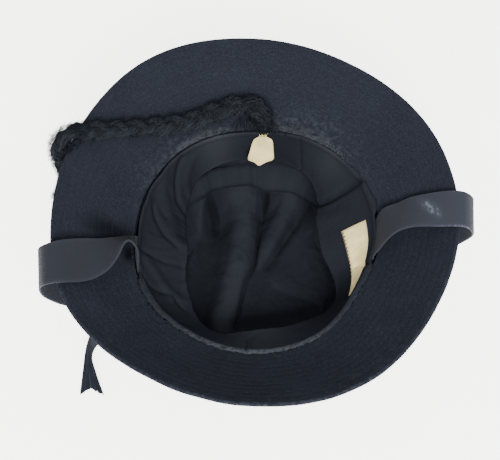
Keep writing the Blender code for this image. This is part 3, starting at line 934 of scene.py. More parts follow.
def ribbon_finish():
    """Petersham ribbon: fine ribs across it and a slight lustre."""
    ribbon = Finish("ribbon", Specular_IOR_Level=0.05)
    ribs = ribbon.bands((1, 0.02, 1), 300)
    fibres = ribbon.streaks(ribbon.cloth, (300, 2600, 1))
    clouds = ribbon.noise(60, 2)
    body = ribbon.mix(clouds, toned("ribbon", 0.8), toned("ribbon", 1.5))
    body = ribbon.mix(ribs * 0.5, body, toned("ribbon", 1.8))
    streaks = ribbon.streaks(ribbon.cloth, (900, 40, 1))
    body = ribbon.mix(ribbon.step(streaks, 0.52, 0.68) * ribbon.worn, body, toned("ribbon", 3.5))
    return ribbon.finish(body, 0.55 - clouds * 0.12, ribs + fibres * 0.3, 0.6, 0.25 * MM)


def webbing_finish():
    """Elastic webbing: cords along it crossed by fine picks, with pale scuffs."""
    webbing = Finish("webbing", Sheen_Weight=0.05, Specular_IOR_Level=0.12)
    cords = webbing.bands((1, 0, 1), 210)
    picks = webbing.bands((0, 1, 1), 420, "Y")
    clouds = webbing.noise(42, 3)
    fluff = webbing.noise(1100, 2)
    scuffs = webbing.step(webbing.streaks(webbing.cloth, (220, 420, 1), 3), 0.42, 0.7)
    body = webbing.mix(clouds, toned("webbing", 0.82), toned("webbing", 1.2))
    body = webbing.mix(cords * picks * 0.5, body, toned("webbing", 1.6))
    # The worn attribute makes the strap paler: scuffs, selvedges, and painted light on its right part
    body = webbing.mix(webbing.worn, body, toned("webbing", 2.4))
    body = webbing.mix(scuffs * webbing.step(webbing.worn, 0.65, 1.0), body, (0.11, 0.125, 0.155))
    body = webbing.mix(webbing.step(fluff, 0.68, 0.78) * 0.1, body, (0.2, 0.22, 0.26))
    height = cords * 0.7 + picks * 0.6 + fluff * 0.5
    return webbing.finish(body, 0.86 - clouds * 0.06, height, 0.6, 0.22 * MM)


def yarn_finish():
    """Woollen yarn: twisted hairy fibres, nearly black with grey-blue hairs."""
    yarn = Finish("yarn", Specular_IOR_Level=0.04)
    slant = yarn.node("VectorRotate", {"rotation_type": "Z_AXIS"}, {"Vector": yarn.cloth, "Angle": 0.5})
    twist = yarn.streaks(slant, (420, 3600, 1), 3, 0.6)
    clouds = yarn.noise(120, 3)
    body = yarn.mix(clouds * 0.5 + yarn.worn * 0.5, toned("yarn", 0.35), toned("yarn", 1.9))
    body = yarn.mix(yarn.step(twist, 0.5, 0.75) * 0.6, body, (0.062, 0.072, 0.085))
    return yarn.finish(body, 0.95 - clouds * 0.05, twist + clouds * 0.3, 0.9, 0.45 * MM)


def tape_finish():
    """Cream cotton tape, yellowed and a little soiled, in a plain weave."""
    tape = Finish("tape", Sheen_Weight=0.1, Specular_IOR_Level=0.25)
    warp = tape.bands((1, 0, 1), 480)
    weft = tape.bands((0, 1, 1), 480, "Y")
    stains = tape.noise(75, 4)
    specks = tape.step(tape.noise(700, 2), 0.62, 0.74)
    body = tape.mix(tape.step(stains, 0.35, 0.75), colours().tape, toned("tape", 0.72))
    body = tape.mix(specks * 0.25, body, (0.3, 0.25, 0.16))
    body = tape.mix(tape.worn * 0.7, body, (0.32, 0.27, 0.18))
    return tape.finish(body, 0.92 - stains * 0.05, warp * weft + stains * 0.4, 0.5, 0.18 * MM)


def thread_finish():
    """Sewing thread, black-blue, with a fine twist."""
    thread = Finish("thread", Specular_IOR_Level=0.12)
    twist = thread.streaks(thread.cloth, (900, 5000, 1))
    body = thread.mix(twist, toned("wool", 0.6), toned("wool", 1.5))
    return thread.finish(body, 0.8 - twist * 0.1, twist, 0.5, 0.1 * MM)


def fibre_finish():
    """Loose wool fibres, from dark blue to pale grey by how worn their place is."""
    fibre = Finish("fibre", Specular_IOR_Level=0.12)
    spread = fibre.noise(400, 1)
    body = fibre.mix(fibre.worn, toned("wool", 1.3), (0.16, 0.175, 0.205))
    body = fibre.mix(spread * 0.5, body, toned("yarn", 1.6))
    return fibre.finish(body, 0.9 - spread * 0.1, spread, 0.3, 0.1 * MM)


FINISHES = {
    "wool": wool_finish,
    "sateen": sateen_finish,
    "ribbon": ribbon_finish,
    "webbing": webbing_finish,
    "yarn": yarn_finish,
    "tape": tape_finish,
    "thread": thread_finish,
    "fibre": fibre_finish,
}


# The crown

# Cells of the crown's net, round it and down it; the other cloths' nets are named in the same way
CROWN_CELLS = (240, 76)
# How far in degrees the stitches run beside a seam
SEAM_STITCHES = 1.9


def crown_point(u, v):
    """A point of the crown's outer face, with its seams drawn in and the nap uneven."""
    angle, depth = 360 * u % 360, 2 * v
    radius, height = bowl(angle, depth)
    wall = max(math.sin(math.pi * min(depth, 1.0)), 0)
    away = abs(seam_turn(angle))
    seam = 1.1 * bump(away, 0, 0.7) - 0.45 * bump(away, 2.2, 1.1)
    pucker = ripple(angle * 0.4, depth * 38, 2.0, 2) * 0.35 * bump(away, 0, 5)
    nap = ripple(angle * 0.5, depth * 14, 7.0) * 0.25
    return polar(angle, radius + dents(angle, depth) + (nap - pucker - seam) * wall * MM, height)


def crown_wear(u, v):
    away = abs(seam_turn(360 * u))
    return clamp(0.5 * bump(away, 2.2, 1.0) * smooth(v, 0.05, 0.1) + 0.35 * bump(v, 0.46, 0.06))


def crown_seam_line(angle, share):
    """The line of stitches beside a seam, from under the ribbon to the resting patch."""
    depth = 0.06 + 0.88 * share
    place = crown_point(angle / 360, depth / 2)
    return place, polar(angle, 1, 0)


class CAP_OT_crown(bpy.types.Operator):
    """Makes the soft outer crown with its six gores and the stitches beside their seams"""

    bl_idname = "cap.crown"
    bl_label = "Crown"

    def execute(self, context):
        crown = cloth_net("crown_cloth", CROWN_CELLS, crown_point, crown_wear, (0.56, 0.24))
        thicken(crown, WOOL, 1)
        dress(crown, "wool", "wool", "crown")
        runs = []
        for gore in range(GORES):
            for side in (-1, 1):
                angle = (90 + gore * 360 / GORES + side * SEAM_STITCHES) % 360
                line = partial(crown_seam_line, angle)
                runs.append(stitch_run(line, sizes().stitch_length, 0.3 * MM, closed=False))
        dress(threads_net("crown_stitches", runs, sides=4), "wool", "thread")
        return {"FINISHED"}


# The brim

BRIM_COLUMNS = 360
# The section's points at the brim's rounded edges, as shares of its width, and the points in each
# row of stitches, as shares of the row, closest where the thread draws the cloth in
EDGE_SHARES = (0.0, 0.003, 0.009, 0.018, 0.028)
ROW_SHARES = (0.14, 0.32, 0.42, 0.5, 0.58, 0.68, 0.86)
EDGE_MARGIN = 0.005


def brim_section(rows):
    """The shares and sides of the brim's section, out under it, round its edge and back on top."""
    inner = list(EDGE_SHARES)
    outer = [1 - share for share in reversed(inner)]
    fine = [(row + share) / rows for row in range(rows) for share in ROW_SHARES]
    middle = [share for share in fine if inner[-1] + EDGE_MARGIN < share < outer[0] - EDGE_MARGIN]
    top = inner + middle + outer
    return [(share, -1) for share in top] + [(share, 1) for share in reversed(top)]


def brim_line(share, side, turn):
    """A row of stitches on the brim's top or underside."""
    angle = 360 * turn % 360
    slope = brim_slope(angle, share)
    return brim_point(angle, share, side), polar(angle, -math.sin(slope), math.cos(slope)) * side


class CAP_OT_brim(bpy.types.Operator):
    """Makes the stiff brim: two layers of wool, quilted in rows and rounded at the edge"""

    bl_idname = "cap.brim"
    bl_label = "Brim"

    def execute(self, context):
        section = brim_section(sizes().stitch_rows)

        def spot(u, v):
            share, side = section[round(v * (len(section) - 1))]
            return 360 * u % 360, share, side

        def place(u, v):
            return brim_point(*spot(u, v))

        def worn(u, v):
            angle, share, side = spot(u, v)
            return rubbed(angle, share) if side > 0 else 0.5 * bump(share, 1.0, 0.02)

        cells = (BRIM_COLUMNS, len(section) - 1)
        brim = cloth_net("brim_cloth", cells, place, worn, (0.74, 0.14))
        dress(brim, "brim_wool", "wool", "brim")
        return {"FINISHED"}


class CAP_OT_brim_stitches(bpy.types.Operator):
    """Makes the rows of stitches on the top and the underside of the brim"""

    bl_idname = "cap.brim_stitches"
    bl_label = "Brim stitches"

    def execute(self, context):
        rows = sizes().stitch_rows
        for name, side in (("brim_stitches", 1), ("brim_stitches_under", -1)):
            lines = [partial(brim_line, (row + 0.5) / rows, side) for row in range(rows)]
            runs = [stitch_run(line, sizes().stitch_length, 0.25 * MM) for line in lines]
            dress(threads_net(name, runs, sides=3), "brim_wool", "thread")
        return {"FINISHED"}


# The lining and the sweatband

LINING_CELLS = (280, 100)
# The share of the net's rows that are on the lining's wall, and the painted shadow line on the
# wall below the sweatband's lower edge: how far below the edge, and its width
WALL_SHARE = 0.6
SHADOW_DROP = 13 * MM
SHADOW_WIDTH = 2.6 * MM
BAND_CELLS = (370, 64)
HEM_ROWS = 5
HEM_RISE = 0.5 * MM
BAND_STITCH = 2.6 * MM
BAND_STITCH_ROWS = (0.075, 0.95)
# Where the sweatband's smooth panels get a painted sheen: an angle, the spread either way, both in
# degrees, and how much
Panel = namedtuple("Panel", "angle spread tone")
PANELS = (Panel(110, 17, 1.0), Panel(50, 15, 0.8), Panel(140, 12, 0.3), Panel(272, 42, 1.1))


def lining_place(u, v):
    """A corner of the lining's net, whose rows are closer on the floor than on the walls."""
    depth = v / WALL_SHARE if v < WALL_SHARE else 1 + (v - WALL_SHARE) / (1 - WALL_SHARE)
    return lining_point(360 * u % 360, 0.02 + 0.99 * depth)


def wall_tone(angle, u, v, height):
    """How pale the lining's wall is: painted light makes it palest at the back, and painted shadow
    darkens it below the sweatband and the ledge.
    """
    back, ledge = ledge_presence(angle), ledge_depth(angle)
    # Painted light at the back, and an uneven tone
    tone = 0.5 + 0.4 * near_angle(angle, 82, 58) + 0.25 * ripple(120 * u, v * 2, 6.0)
    shadow = CROWN_DEPTH - around("drop", angle) - SHADOW_DROP
    # Painted shadow below the sweatband's lower edge
    tone -= (0.6 + 1.2 * near_angle(angle, 122, 24)) * bump(height, shadow, SHADOW_WIDTH)
    # Painted shade under the ledge where the back wall folds over the floor
    return tone - 0.9 * back * bump(v, WALL_SHARE * ledge + 0.008, 0.009)


def lining_wear_light_and_shade(u, v):
    """The crests are pale, partly rubbed and partly painted light, the hollows get painted shade,
    and the front of the floor gets painted light.
    """
    spot, angle = lining_place(u, v), 360 * u
    floor = floor_shape(spot.x / MM, spot.y / MM, spot.z / MM)[1]
    # Painted light: the front of the floor, which the rim shades, is made paler
    floor += 0.1 + 0.7 * smooth(-spot.y / MM, -40, 35)
    back = ledge_presence(angle)
    foot = WALL_SHARE * (0.83 - (0.82 - ledge_depth(angle)) * back)
    flatness = smooth(v, foot, foot + 0.05 - 0.035 * back)
    return floor * flatness + wall_tone(angle, u, v, spot.z) * (1 - flatness)


class CAP_OT_lining(bpy.types.Operator):
    """Makes the gored lining, gathered on its walls and folded up on its floor"""

    bl_idname = "cap.lining"
    bl_label = "Lining"

    def execute(self, context):
        lining = cloth_net("lining_cloth", LINING_CELLS, lining_place, lining_wear_light_and_shade, (0.5, 0.2))
        thicken(lining, SATEEN, 1)
        dress(lining, "sateen", "sateen", "lining")
        return {"FINISHED"}


def sweatband_place(u, v):
    """A corner of the sweatband's net: its top is folded outwards and its lower edge is hemmed."""
    rows = BAND_CELLS[1]
    angle, row = 360 * u % 360, v * rows
    if row < HEM_ROWS - 0.5:
        bend = math.pi * (1 - row / HEM_ROWS)
        lap = hem_lap(angle) * (1 - math.cos(bend)) / 2
        rise = HEM_RISE * (1 + 0.9 * ripple(angle * 0.8, bend, 2.0, 2)) * math.sin(bend) + 0.25 * lap
        return band_inner(angle, 0, 0) + polar(angle, lap, rise)
    share = (row - HEM_ROWS) / (rows - HEM_ROWS)
    edge = 0.35 * MM * bump(share, 1.0, 0.07) + 0.35 * MM * bump(share, 0.03, 0.03)
    return band_inner(angle, share, edge)


def sweatband_wear_light_and_shade(u, v):
    """The turned top is rubbed, most at the front; the flat panels get a painted sheen, the creases
    painted shade, and the band is darker towards its lower edge.
    """
    angle = 360 * u
    front = 0.25 + 0.75 * near_angle(angle, 262, 62)
    ragged = clamp(0.55 + 1.5 * ripple(angle * 1.1, v * 40, 3.0))
    panels = 0.45 + sum(
        panel.tone * near_angle(angle, panel.angle, panel.spread) for panel in PANELS
    )
    x, y = angle * BAND_RUN.x, v * BAND_RUN.y
    creases = sum(fold_rise(groove, x, y) for groove in band_folds()[1])
    # Painted sheen on the panels and painted shade in the creases
    return panels - 0.2 * v + 0.35 * creases + bump(v, 0.04, 0.05) * front * (1.15 * ragged - 0.6)


def sweatband_line(share, turn):
    """A row of stitches on the sweatband's visible face."""
    angle = 360 * turn % 360
    middle = band_base(angle, share)
    return band_inner(angle, share, SATEEN), (Vector((0, 0, middle.z)) - middle).normalized()


class CAP_OT_sweatband(bpy.types.Operator):
    """Makes the sateen sweatband that hangs in from the rim, with its two rows of stitches"""

    bl_idname = "cap.sweatband"
    bl_label = "Sweatband"

    def execute(self, context):
        scale = (0.54, 0.045)
        band = cloth_net("sweatband_cloth", BAND_CELLS, sweatband_place, sweatband_wear_light_and_shade, scale)
        thicken(band, SATEEN, 1)
        dress(band, "sateen", "sateen", "sweatband")
        lines = [partial(sweatband_line, share) for share in BAND_STITCH_ROWS]
        runs = [stitch_run(line, BAND_STITCH, 0.2 * MM) for line in lines]
        dress(threads_net("sweatband_stitches", runs, sides=4), "sateen", "thread")
        return {"FINISHED"}


# The ribbon

RIBBON_CELLS = (300, 18)
LOOP_CELLS = (96, 14)
TAIL_CELLS = (28, 90)
TAIL_NOTCH = 5 * MM
KNOT_CUTS = 15


@lru_cache(maxsize=None)
def crown_radius(angle, height):
    """The crown's outer radius at a height on its upper wall, found by halving."""
    low, high = 0.0, 0.6
    for _ in range(14):
        middle = (low + high) / 2
        if bowl(angle, middle)[1] > height:
            low = middle
        else:
            high = middle
    return bowl(angle, low)[0] + dents(angle, low)


def ribbon_place(u, v):
    """A corner of the ribbon band's net, with small tucks along its lower edge."""
    top, bottom = RIBBON_HEIGHTS
    angle, height = 360 * u % 360, top + (bottom - top) * v
    tucks = ripple(angle / 6, v * 1.2, 5.0, 2) * 0.5 * MM * v
    edge = 0.2 * MM * at_ends(v, 0.05)
    radius = crown_radius(angle, height) + GAP + 0.5 * MM + max(tucks, -0.2 * MM) + edge
    return polar(angle, radius, height)


def selvedge_wear(u, v):
    return 0.4 * at_ends(v, 0.03)


def bow_frame():
    """The bow's middle on the ribbon band, with the directions along and away from the crown."""
    radius = crown_radius(BOW_ANGLE, BOW_HEIGHT) + GAP + 1 * MM
    return polar(BOW_ANGLE, radius, BOW_HEIGHT), polar(BOW_ANGLE + 90, 1, 0), polar(BOW_ANGLE, 1, 0)


def bow_loop_point(side, u, v):
    """A corner of one soft loop of the bow, gathered at the knot."""
    middle, along, away = bow_frame()
    turn = 2 * math.pi * u
    start = KNOT_SIZE[0] / 2 + GAP + 1 * MM
    run = start + LOOP_LENGTH * (0.5 - 0.5 * math.cos(turn))
    outer = math.sin(turn / 2)
    fullness = 0.4 + 0.6 * outer**2
    reach = crown_radius(BOW_ANGLE, BOW_HEIGHT)
    depth = LOOP_DEPTH / 2 * (1 + math.sin(turn) * fullness) + LOOP_REST - run * run / (2 * reach)
    height = (v - 0.5) * BOW_WIDTH * (0.75 + 0.25 * outer)
    gather = math.cos(v * 5 * math.pi + side) * 0.7 * MM * (1 - outer)
    cup = (2 * v - 1) ** 2 * 0.9 * MM * math.sin(turn)
    return middle + side * run * along + (depth + gather - cup) * away + Vector((0, 0, height))


def pinch_knot(corner):
    """Moves a corner of a cube of size 1 to its place on the bow's pleated knot."""
    middle, along, away = bow_frame()
    run, depth, height = corner.co * 2
    waist = 1 - 0.16 * (1 - height * height)
    pleat = 1 + 0.035 * math.cos(height * 9.5 + run)
    round_run = run * math.sqrt(1 - depth * depth / 2.6) * waist
    round_depth = depth * math.sqrt(1 - run * run / 2.6) * pleat * 0.96
    rise = height * math.sqrt(1 - (run * run + depth * depth) / 9)
    corner.co = (
        middle
        + round_run * KNOT_SIZE[0] / 2 * along
        + (round_depth * KNOT_SIZE[1] / 2 + KNOT_SIZE[1] / 2 + KNOT_REST) * away
        + Vector((0, 0, rise * KNOT_SIZE[2] / 2))
    )


def make_knot():
    """The wrap of ribbon that gathers the bow."""
    net = bmesh.new()
    threads = net.loops.layers.uv.new("cloth")
    bmesh.ops.create_cube(net, size=1, calc_uvs=True)
    bmesh.ops.subdivide_edges(net, edges=net.edges, cuts=KNOT_CUTS, use_grid_fill=True)
    for face in net.faces:
        for loop in face.loops:
            loop[threads].uv = loop[threads].uv * KNOT_SIZE[2]
    for corner in net.verts:
        pinch_knot(corner)
    bmesh.ops.recalc_face_normals(net, faces=net.faces)
    return finished("bow_knot_ribbon", net)


def tail_point(stations, length, u, v):
    """A corner of a ribbon tail, cut to a swallow tail, its last threads uneven."""
    share = v * (1 - TAIL_NOTCH / length * (1 - abs(2 * u - 1)) * v)
    share = clamp(share - 0.03 * abs(ripple(u * 22, 1.0, 2.0, 2)) * smooth(v, 0.94, 1.0))
    left = through([station.far for station in stations], share)
    right = through([station.near for station in stations], share)
    cup = (1 - (2 * u - 1) ** 2) * 0.8 * math.sin(math.pi * share)
    return (left.lerp(right, u) + Vector((-0.6, -0.3, 0.7)) * cup) * MM


def tail_wear(u, v):
    return 0.65 + 0.35 * smooth(v, 0.93, 1.0)


class CAP_OT_ribbon(bpy.types.Operator):
    """Makes the ribbon band round the crown, its bow and its two swallow-tailed ends"""

    bl_idname = "cap.ribbon"
    bl_label = "Ribbon"

    def execute(self, context):
        width = RIBBON_HEIGHTS[0] - RIBBON_HEIGHTS[1]
        scale = (0.59, width)
        band = cloth_net("ribbon_band_cloth", RIBBON_CELLS, ribbon_place, selvedge_wear, scale)
        thicken(band, RIBBON, -1)
        dress(band, "ribbon", "ribbon", "ribbon_band")
        for name, side in (("bow_loop_front", 1), ("bow_loop_back", -1)):
            place = partial(bow_loop_point, side)
            loop = cloth_net(name + "_ribbon", LOOP_CELLS, place, None, (0.09, BOW_WIDTH))
            thicken(loop, RIBBON, 0)
            dress(loop, "ribbon", "ribbon", name)
        dress(make_knot(), "ribbon", "ribbon", "bow_knot")
        for name, stations, flat, held in (
            ("ribbon_tail_front", FRONT_TAIL, (0.019, 0.088), "laid"),
            ("ribbon_tail_back", BACK_TAIL, (0.018, 0.058), "hung"),
        ):
            place = partial(tail_point, stations, flat[1])
            tail = cloth_net(name + "_ribbon", TAIL_CELLS, place, tail_wear, flat)
            thicken(tail, RIBBON, 0)
            dress(tail, "ribbon", "ribbon", name)
        return {"FINISHED"}


# The chin strap

STRAP_CELLS = (18, 520)
SELVEDGE_ROUND = 0.45 * MM


def strap_end(angles, height):
    """One strap station in the gap behind the sweatband, at a height."""
    radii = [(around("opening", angle % 360) - STRAP_INSET) / MM for angle in angles]
    far, near = (polar(angle, radius, height / MM) for angle, radius in zip(angles, radii))
    return Station(tuple(far), tuple(near))


def strap_stations():
    """The strap's stations with the bow of each across its width, in millimetres."""
    first = [strap_end(STRAP_ENDS[0], height) for height in STRAP_SEWN_HEIGHTS]
    last = [strap_end(STRAP_ENDS[1], height) for height in reversed(STRAP_SEWN_HEIGHTS)]
    stations = first + list(STRAP_ROUTE) + last
    bows = [STRAP_BOW] * len(first) + [0] * len(STRAP_ROUTE) + [STRAP_BOW] * len(last)
    return stations, [(bow, 0, 0) for bow in bows]


def strap_wear(u, v):
    """A scuff on the right turn, rubbed selvedges, and painted light that makes the strap paler
    towards the right hole.
    """
    scuff = bump(v - 0.025 * (0.5 - u), 0.836, 0.006) * bump(u, 0.45, 0.28)
    # Painted light: the right part of the strap is made paler
    painted_light_right = 0.1 * smooth(v, 0.6, 0.72) + 0.5 * bump(v, 0.795, 0.06)
    return clamp(scuff + 0.3 * at_ends(u, 0.05) + painted_light_right)


class CAP_OT_chin_strap(bpy.types.Operator):
    """Makes the loop of elastic webbing, from the left hole over the brim and round to the right"""

    bl_idname = "cap.chin_strap"
    bl_label = "Chin strap"

    def execute(self, context):
        stations, bows = strap_stations()
        far = [station.far for station in stations]
        near = [station.near for station in stations]
        length = sum((Vector(a) - Vector(b)).length for a, b in zip(near, near[1:])) * MM

        def place(u, v):
            middle = through(far, v).lerp(through(near, v), u)
            bow = through(bows, v).x * (1 - (2 * u - 1) ** 2)
            return (middle + bow * Vector((middle.x, middle.y, 0)).normalized()) * MM

        scale = (0.029, length)
        strap = cloth_net("chin_strap_webbing", STRAP_CELLS, place, strap_wear, scale)
        thicken(strap, WEBBING, 0)
        rounded = strap.modifiers.new("selvedge", "BEVEL")
        rounded.width = SELVEDGE_ROUND
        rounded.segments = 2
        rounded.limit_method = "ANGLE"
        rounded.angle_limit = math.radians(60)
        dress(strap, "webbing", "webbing", "chin_strap")
        return {"FINISHED"}


# The plait

STRANDS = 3
YARNS = 13
PLAIT_RINGS = 300
# Thickness of a yarn and of a strand's core as shares of the plait's radius
YARN_SHARE = 0.095
CORE_SHARE = 0.26
# Where the yarns come loose at the brim's edge, from the plait's middle
LOOSE_END = Vector((6.5, 1.5, 0)) * MM
STANDING_HAIRS = 6600
LOOSE_YARNS = 420
RISING_YARNS = 300


@lru_cache(maxsize=None)
def plait_frame(share):
    """The plait's middle and radius at a share, with the directions across it and off the brim."""
    middles = [(bend.x, bend.y, bend.z) for bend in PLAIT_ROUTE]
    radii = [(bend.radius, 0, 0) for bend in PLAIT_ROUTE]
    point = through(middles, share) * MM
    ahead, behind = through(middles, min(share + 0.01, 1)), through(middles, max(share - 0.01, 0))
    along = (ahead - behind).normalized()
    outward = Vector((0, 0.1, 1)) + Vector((-1.6, 0.9, 0)) * smooth(share, 0.56, 0.7)
    across = along.cross(outward).normalized()
    return point, through(radii, share).x * MM, across, across.cross(along).normalized()


def yarn_run(strand, yarn, runs):
    """The rings of one yarn: it turns round its strand, which crosses the plait from side to side.
    The last yarn of a strand is its core."""
    rings = []
    for step, run in enumerate(runs):
        share = step / PLAIT_RINGS
        point, radius, across, outward = plait_frame(share)
        turn = 2 * math.pi * (run / sizes().plait_turn + strand / STRANDS)
        twist = 2 * math.pi * (run / (sizes().plait_turn * 0.7) + yarn / YARNS)
        loose = 1.1 + 0.7 * ripple(run * 140, strand * 9 + yarn, 1.0, 3)
        reach = radius * 0.36 * loose * (yarn < YARNS)
        tone = clamp(0.5 + 0.7 * ripple(yarn * 7.3, strand * 3.1, run * 12, 1))
        stray = 0.2 * ripple(run * 300, strand * 5 + yarn * 3, 8.0, 2)
        wide = math.sin(turn) * radius * 0.5 + math.cos(twist) * reach + stray * radius
        high = math.sin(2 * turn) * radius * 0.24 + math.sin(twist) * reach * 0.75
        girth = radius * (YARN_SHARE if yarn < YARNS else CORE_SHARE)
        girth *= smooth(share, 0, 0.01) * (1 - smooth(share, 0.985, 1.0))
        rings.append(Ring(point + across * wide + outward * high, outward, girth, tone))
    return rings


def standing_hair(draw):
    """A fine hair that stands off the plait's top or its sides."""
    share = draw.random() ** 0.85
    point, radius, across, outward = plait_frame(share)
    turn = draw.uniform(-0.5, math.pi + 0.5)
    heading = across * math.cos(turn) + outward * math.sin(turn)
    start = point + heading * radius * draw.uniform(0.55, 0.95)
    length = draw.uniform(1.5, 5.5) * MM
    return hair_run(draw, start, heading, length, 0.2 * MM, draw.random() ** 3 * 0.4, 1.1)


def loose_yarn(draw):
    """A bit of yarn that lies any way among the loose yarns at the brim's edge."""
    point, radius = plait_frame(draw.uniform(0.6, 0.93))[:2]
    point = point + LOOSE_END * draw.random()
    spread = scatter(draw, 1) * radius
    heading = scatter(draw, 1).normalized()
    length = draw.uniform(5, 9) * MM
    start = point + spread * 0.8 - heading * length / 2
    return hair_run(draw, start, heading, length, 0.7 * MM, draw.random() ** 3 * 0.4, 0.5)


def rising_yarn(draw):
    """A thicker bit of yarn that rises among the loose yarns."""
    point = plait_frame(draw.uniform(0.68, 0.86))[0] + LOOSE_END * draw.uniform(0.4, 1.1)
    heading = Vector((draw.uniform(-0.5, 0.5), draw.uniform(-1, 1), 1)).normalized()
    length = draw.uniform(6, 10) * MM
    start = point - heading * length / 2
    return hair_run(draw, start, heading, length, 0.9 * MM, draw.random() ** 3 * 0.4, 0.4)


def plait_hairs():
    """Hairs that stand off the plait, and loose yarns where it bends over the brim's edge."""
    draw = random.Random(11)
    runs = [standing_hair(draw) for _ in range(STANDING_HAIRS)]
    runs += [loose_yarn(draw) for _ in range(LOOSE_YARNS)]
    runs += [rising_yarn(draw) for _ in range(RISING_YARNS)]
    return dress(threads_net("plait_hairs", runs, sides=3), "yarn", "yarn")


class CAP_OT_plait(bpy.types.Operator):
    """Makes the plait: three strands of yarns plaited along the route, with loose hairs"""

    bl_idname = "cap.plait"
    bl_label = "Plait"

    def execute(self, context):
        middles = [plait_frame(step / PLAIT_RINGS)[0] for step in range(PLAIT_RINGS + 1)]
        runs = [0.0]
        for low, high in zip(middles, middles[1:]):
            runs.append(runs[-1] + (high - low).length)
        yarns = [yarn_run(strand, yarn, runs) for strand in range(STRANDS) for yarn in range(YARNS + 1)]
        plait = dress(threads_net("plait_yarn", yarns, sides=6), "yarn", "yarn", "plait")
        tuple(middles[0])
        [tuple(middle) for middle in middles[::3]]
        plait_hairs()
        return {"FINISHED"}


# The labels

NAME_TAPE_CELLS = (16, 72)
BACK_LABEL_CELLS = (20, 32)
ZIGZAG_STEPS = 46
ZIGZAG_SIDES = (0.995, 0.9)
ZIGZAG_OFF = 0.9 * MM
ZIGZAG_RADIUS = 0.4 * MM
LABEL_THREADS = 22


def name_tape_point(u, v):
    """A corner of the name tape, which follows the sweatband and its wrinkles."""
    angle, upper, lower = through([tuple(row) for row in TAPE_ROWS], v)
    share = upper + (lower - upper) * u
    edge = 0.2 * MM * at_ends(u, 0.06)
    return band_inner(angle % 360, share, SATEEN + 0.3 * MM - edge)


def name_tape_wear(u, v):
    soiled = 0.5 + 0.9 * ripple(u * 3, v * 9, 5.0, 3)
    edges = bump(u, 0, 0.08) + bump(u, 1, 0.1) + 0.7 * bump(v, 0, 0.03) + 0.7 * bump(v, 1, 0.03)
    return clamp(edges * 0.9 + 0.2 * soiled)


def name_tape_zigzag():
    """The dark zigzag stitches along the tape's lower edge."""
    run = []
    for step in range(ZIGZAG_STEPS + 1):
        place = name_tape_point(ZIGZAG_SIDES[step % 2], 0.01 + 0.98 * step / ZIGZAG_STEPS)
        inward = Vector((-place.x, -place.y, 0.02)).normalized()
        radius = ZIGZAG_RADIUS if 0 < step < ZIGZAG_STEPS else 0
        run.append(Ring(place + inward * ZIGZAG_OFF, inward, radius, 0.0))
    return run


def back_label_point(u, v):
    """A corner of the small label at the back, which curls a little at its sides."""
    lean = math.radians(BACK_LABEL_LEAN)
    down, left, right = through([tuple(row) for row in BACK_LABEL_ROWS], v)
    run = left + (right - left) * u
    curl = 1.6 * ((run / 9) ** 2) * smooth(v, 0.1, 0.6) - 0.9 * math.sin(v * 2.6)
    fall = Vector((run, -math.sin(lean) * down, -math.cos(lean) * down))
    return BACK_LABEL_TOP + (fall + Vector((0, -math.cos(lean), math.sin(lean))) * curl) * MM


def back_label_wear(u, v):
    return clamp(0.6 * (at_ends(u, 0.04) + bump(v, 1, 0.03)))


def label_threads():
    """Loose threads at the top of the back label."""
    draw = random.Random(3)
    runs = []
    for _ in range(LABEL_THREADS):
        start = back_label_point(draw.uniform(0.1, 0.9), draw.uniform(0.0, 0.04))
        heading = Vector((draw.uniform(-0.6, 0.6), 0.45, 0.9)).normalized()
        runs.append(hair_run(draw, start, heading, draw.uniform(1.5, 5) * MM, 0.4 * MM, 0.0, 0.35))
    return runs


class CAP_OT_labels(bpy.types.Operator):
    """Makes the blank name tape on the right of the sweatband and the small label at the back"""

    bl_idname = "cap.labels"
    bl_label = "Labels"

    def execute(self, context):
        scale = (0.019, 0.062)
        tape = cloth_net("name_tape", NAME_TAPE_CELLS, name_tape_point, name_tape_wear, scale)
        thicken(tape, TAPE, 1)
        dress(tape, "tape", "tape", "name_label")
        zigzag = threads_net("name_tape_stitches", [name_tape_zigzag()], sides=4)
        dress(zigzag, "tape", "thread")
        scale = (0.019, 0.03)
        label = cloth_net("back_label_tape", BACK_LABEL_CELLS, back_label_point, back_label_wear, scale)
        thicken(label, TAPE, 0)
        dress(label, "tape", "tape", "back_label")
        dress(threads_net("back_label_threads", label_threads(), sides=4), "tape", "tape")
        return {"FINISHED"}


# Loose fibres

EDGE_FIBRES = 2600
TUFT_FIBRES = 60
ROOT_YARNS = 90
# Where the brim is frayed round the opening: a direction and its spread in degrees, the shares of
# the brim's width between which the fibres start, and how many there are
Fray = namedtuple("Fray", "angle spread low high count")
FRAYED = (
    Fray(70, 9, 0.01, 0.11, 800),
    Fray(54, 13, 0.0, 0.06, 700),
    Fray(113, 8, 0.0, 0.08, 600),
    Fray(140, 14, 0.02, 0.3, 500),
    Fray(55, 30, 0.02, 0.35, 500),
    Fray(250, 60, 0.0, 0.05, 260),
)
# Where a tuft of wool stands off the brim's edge, in degrees
TUFT_ANGLE = 174.6


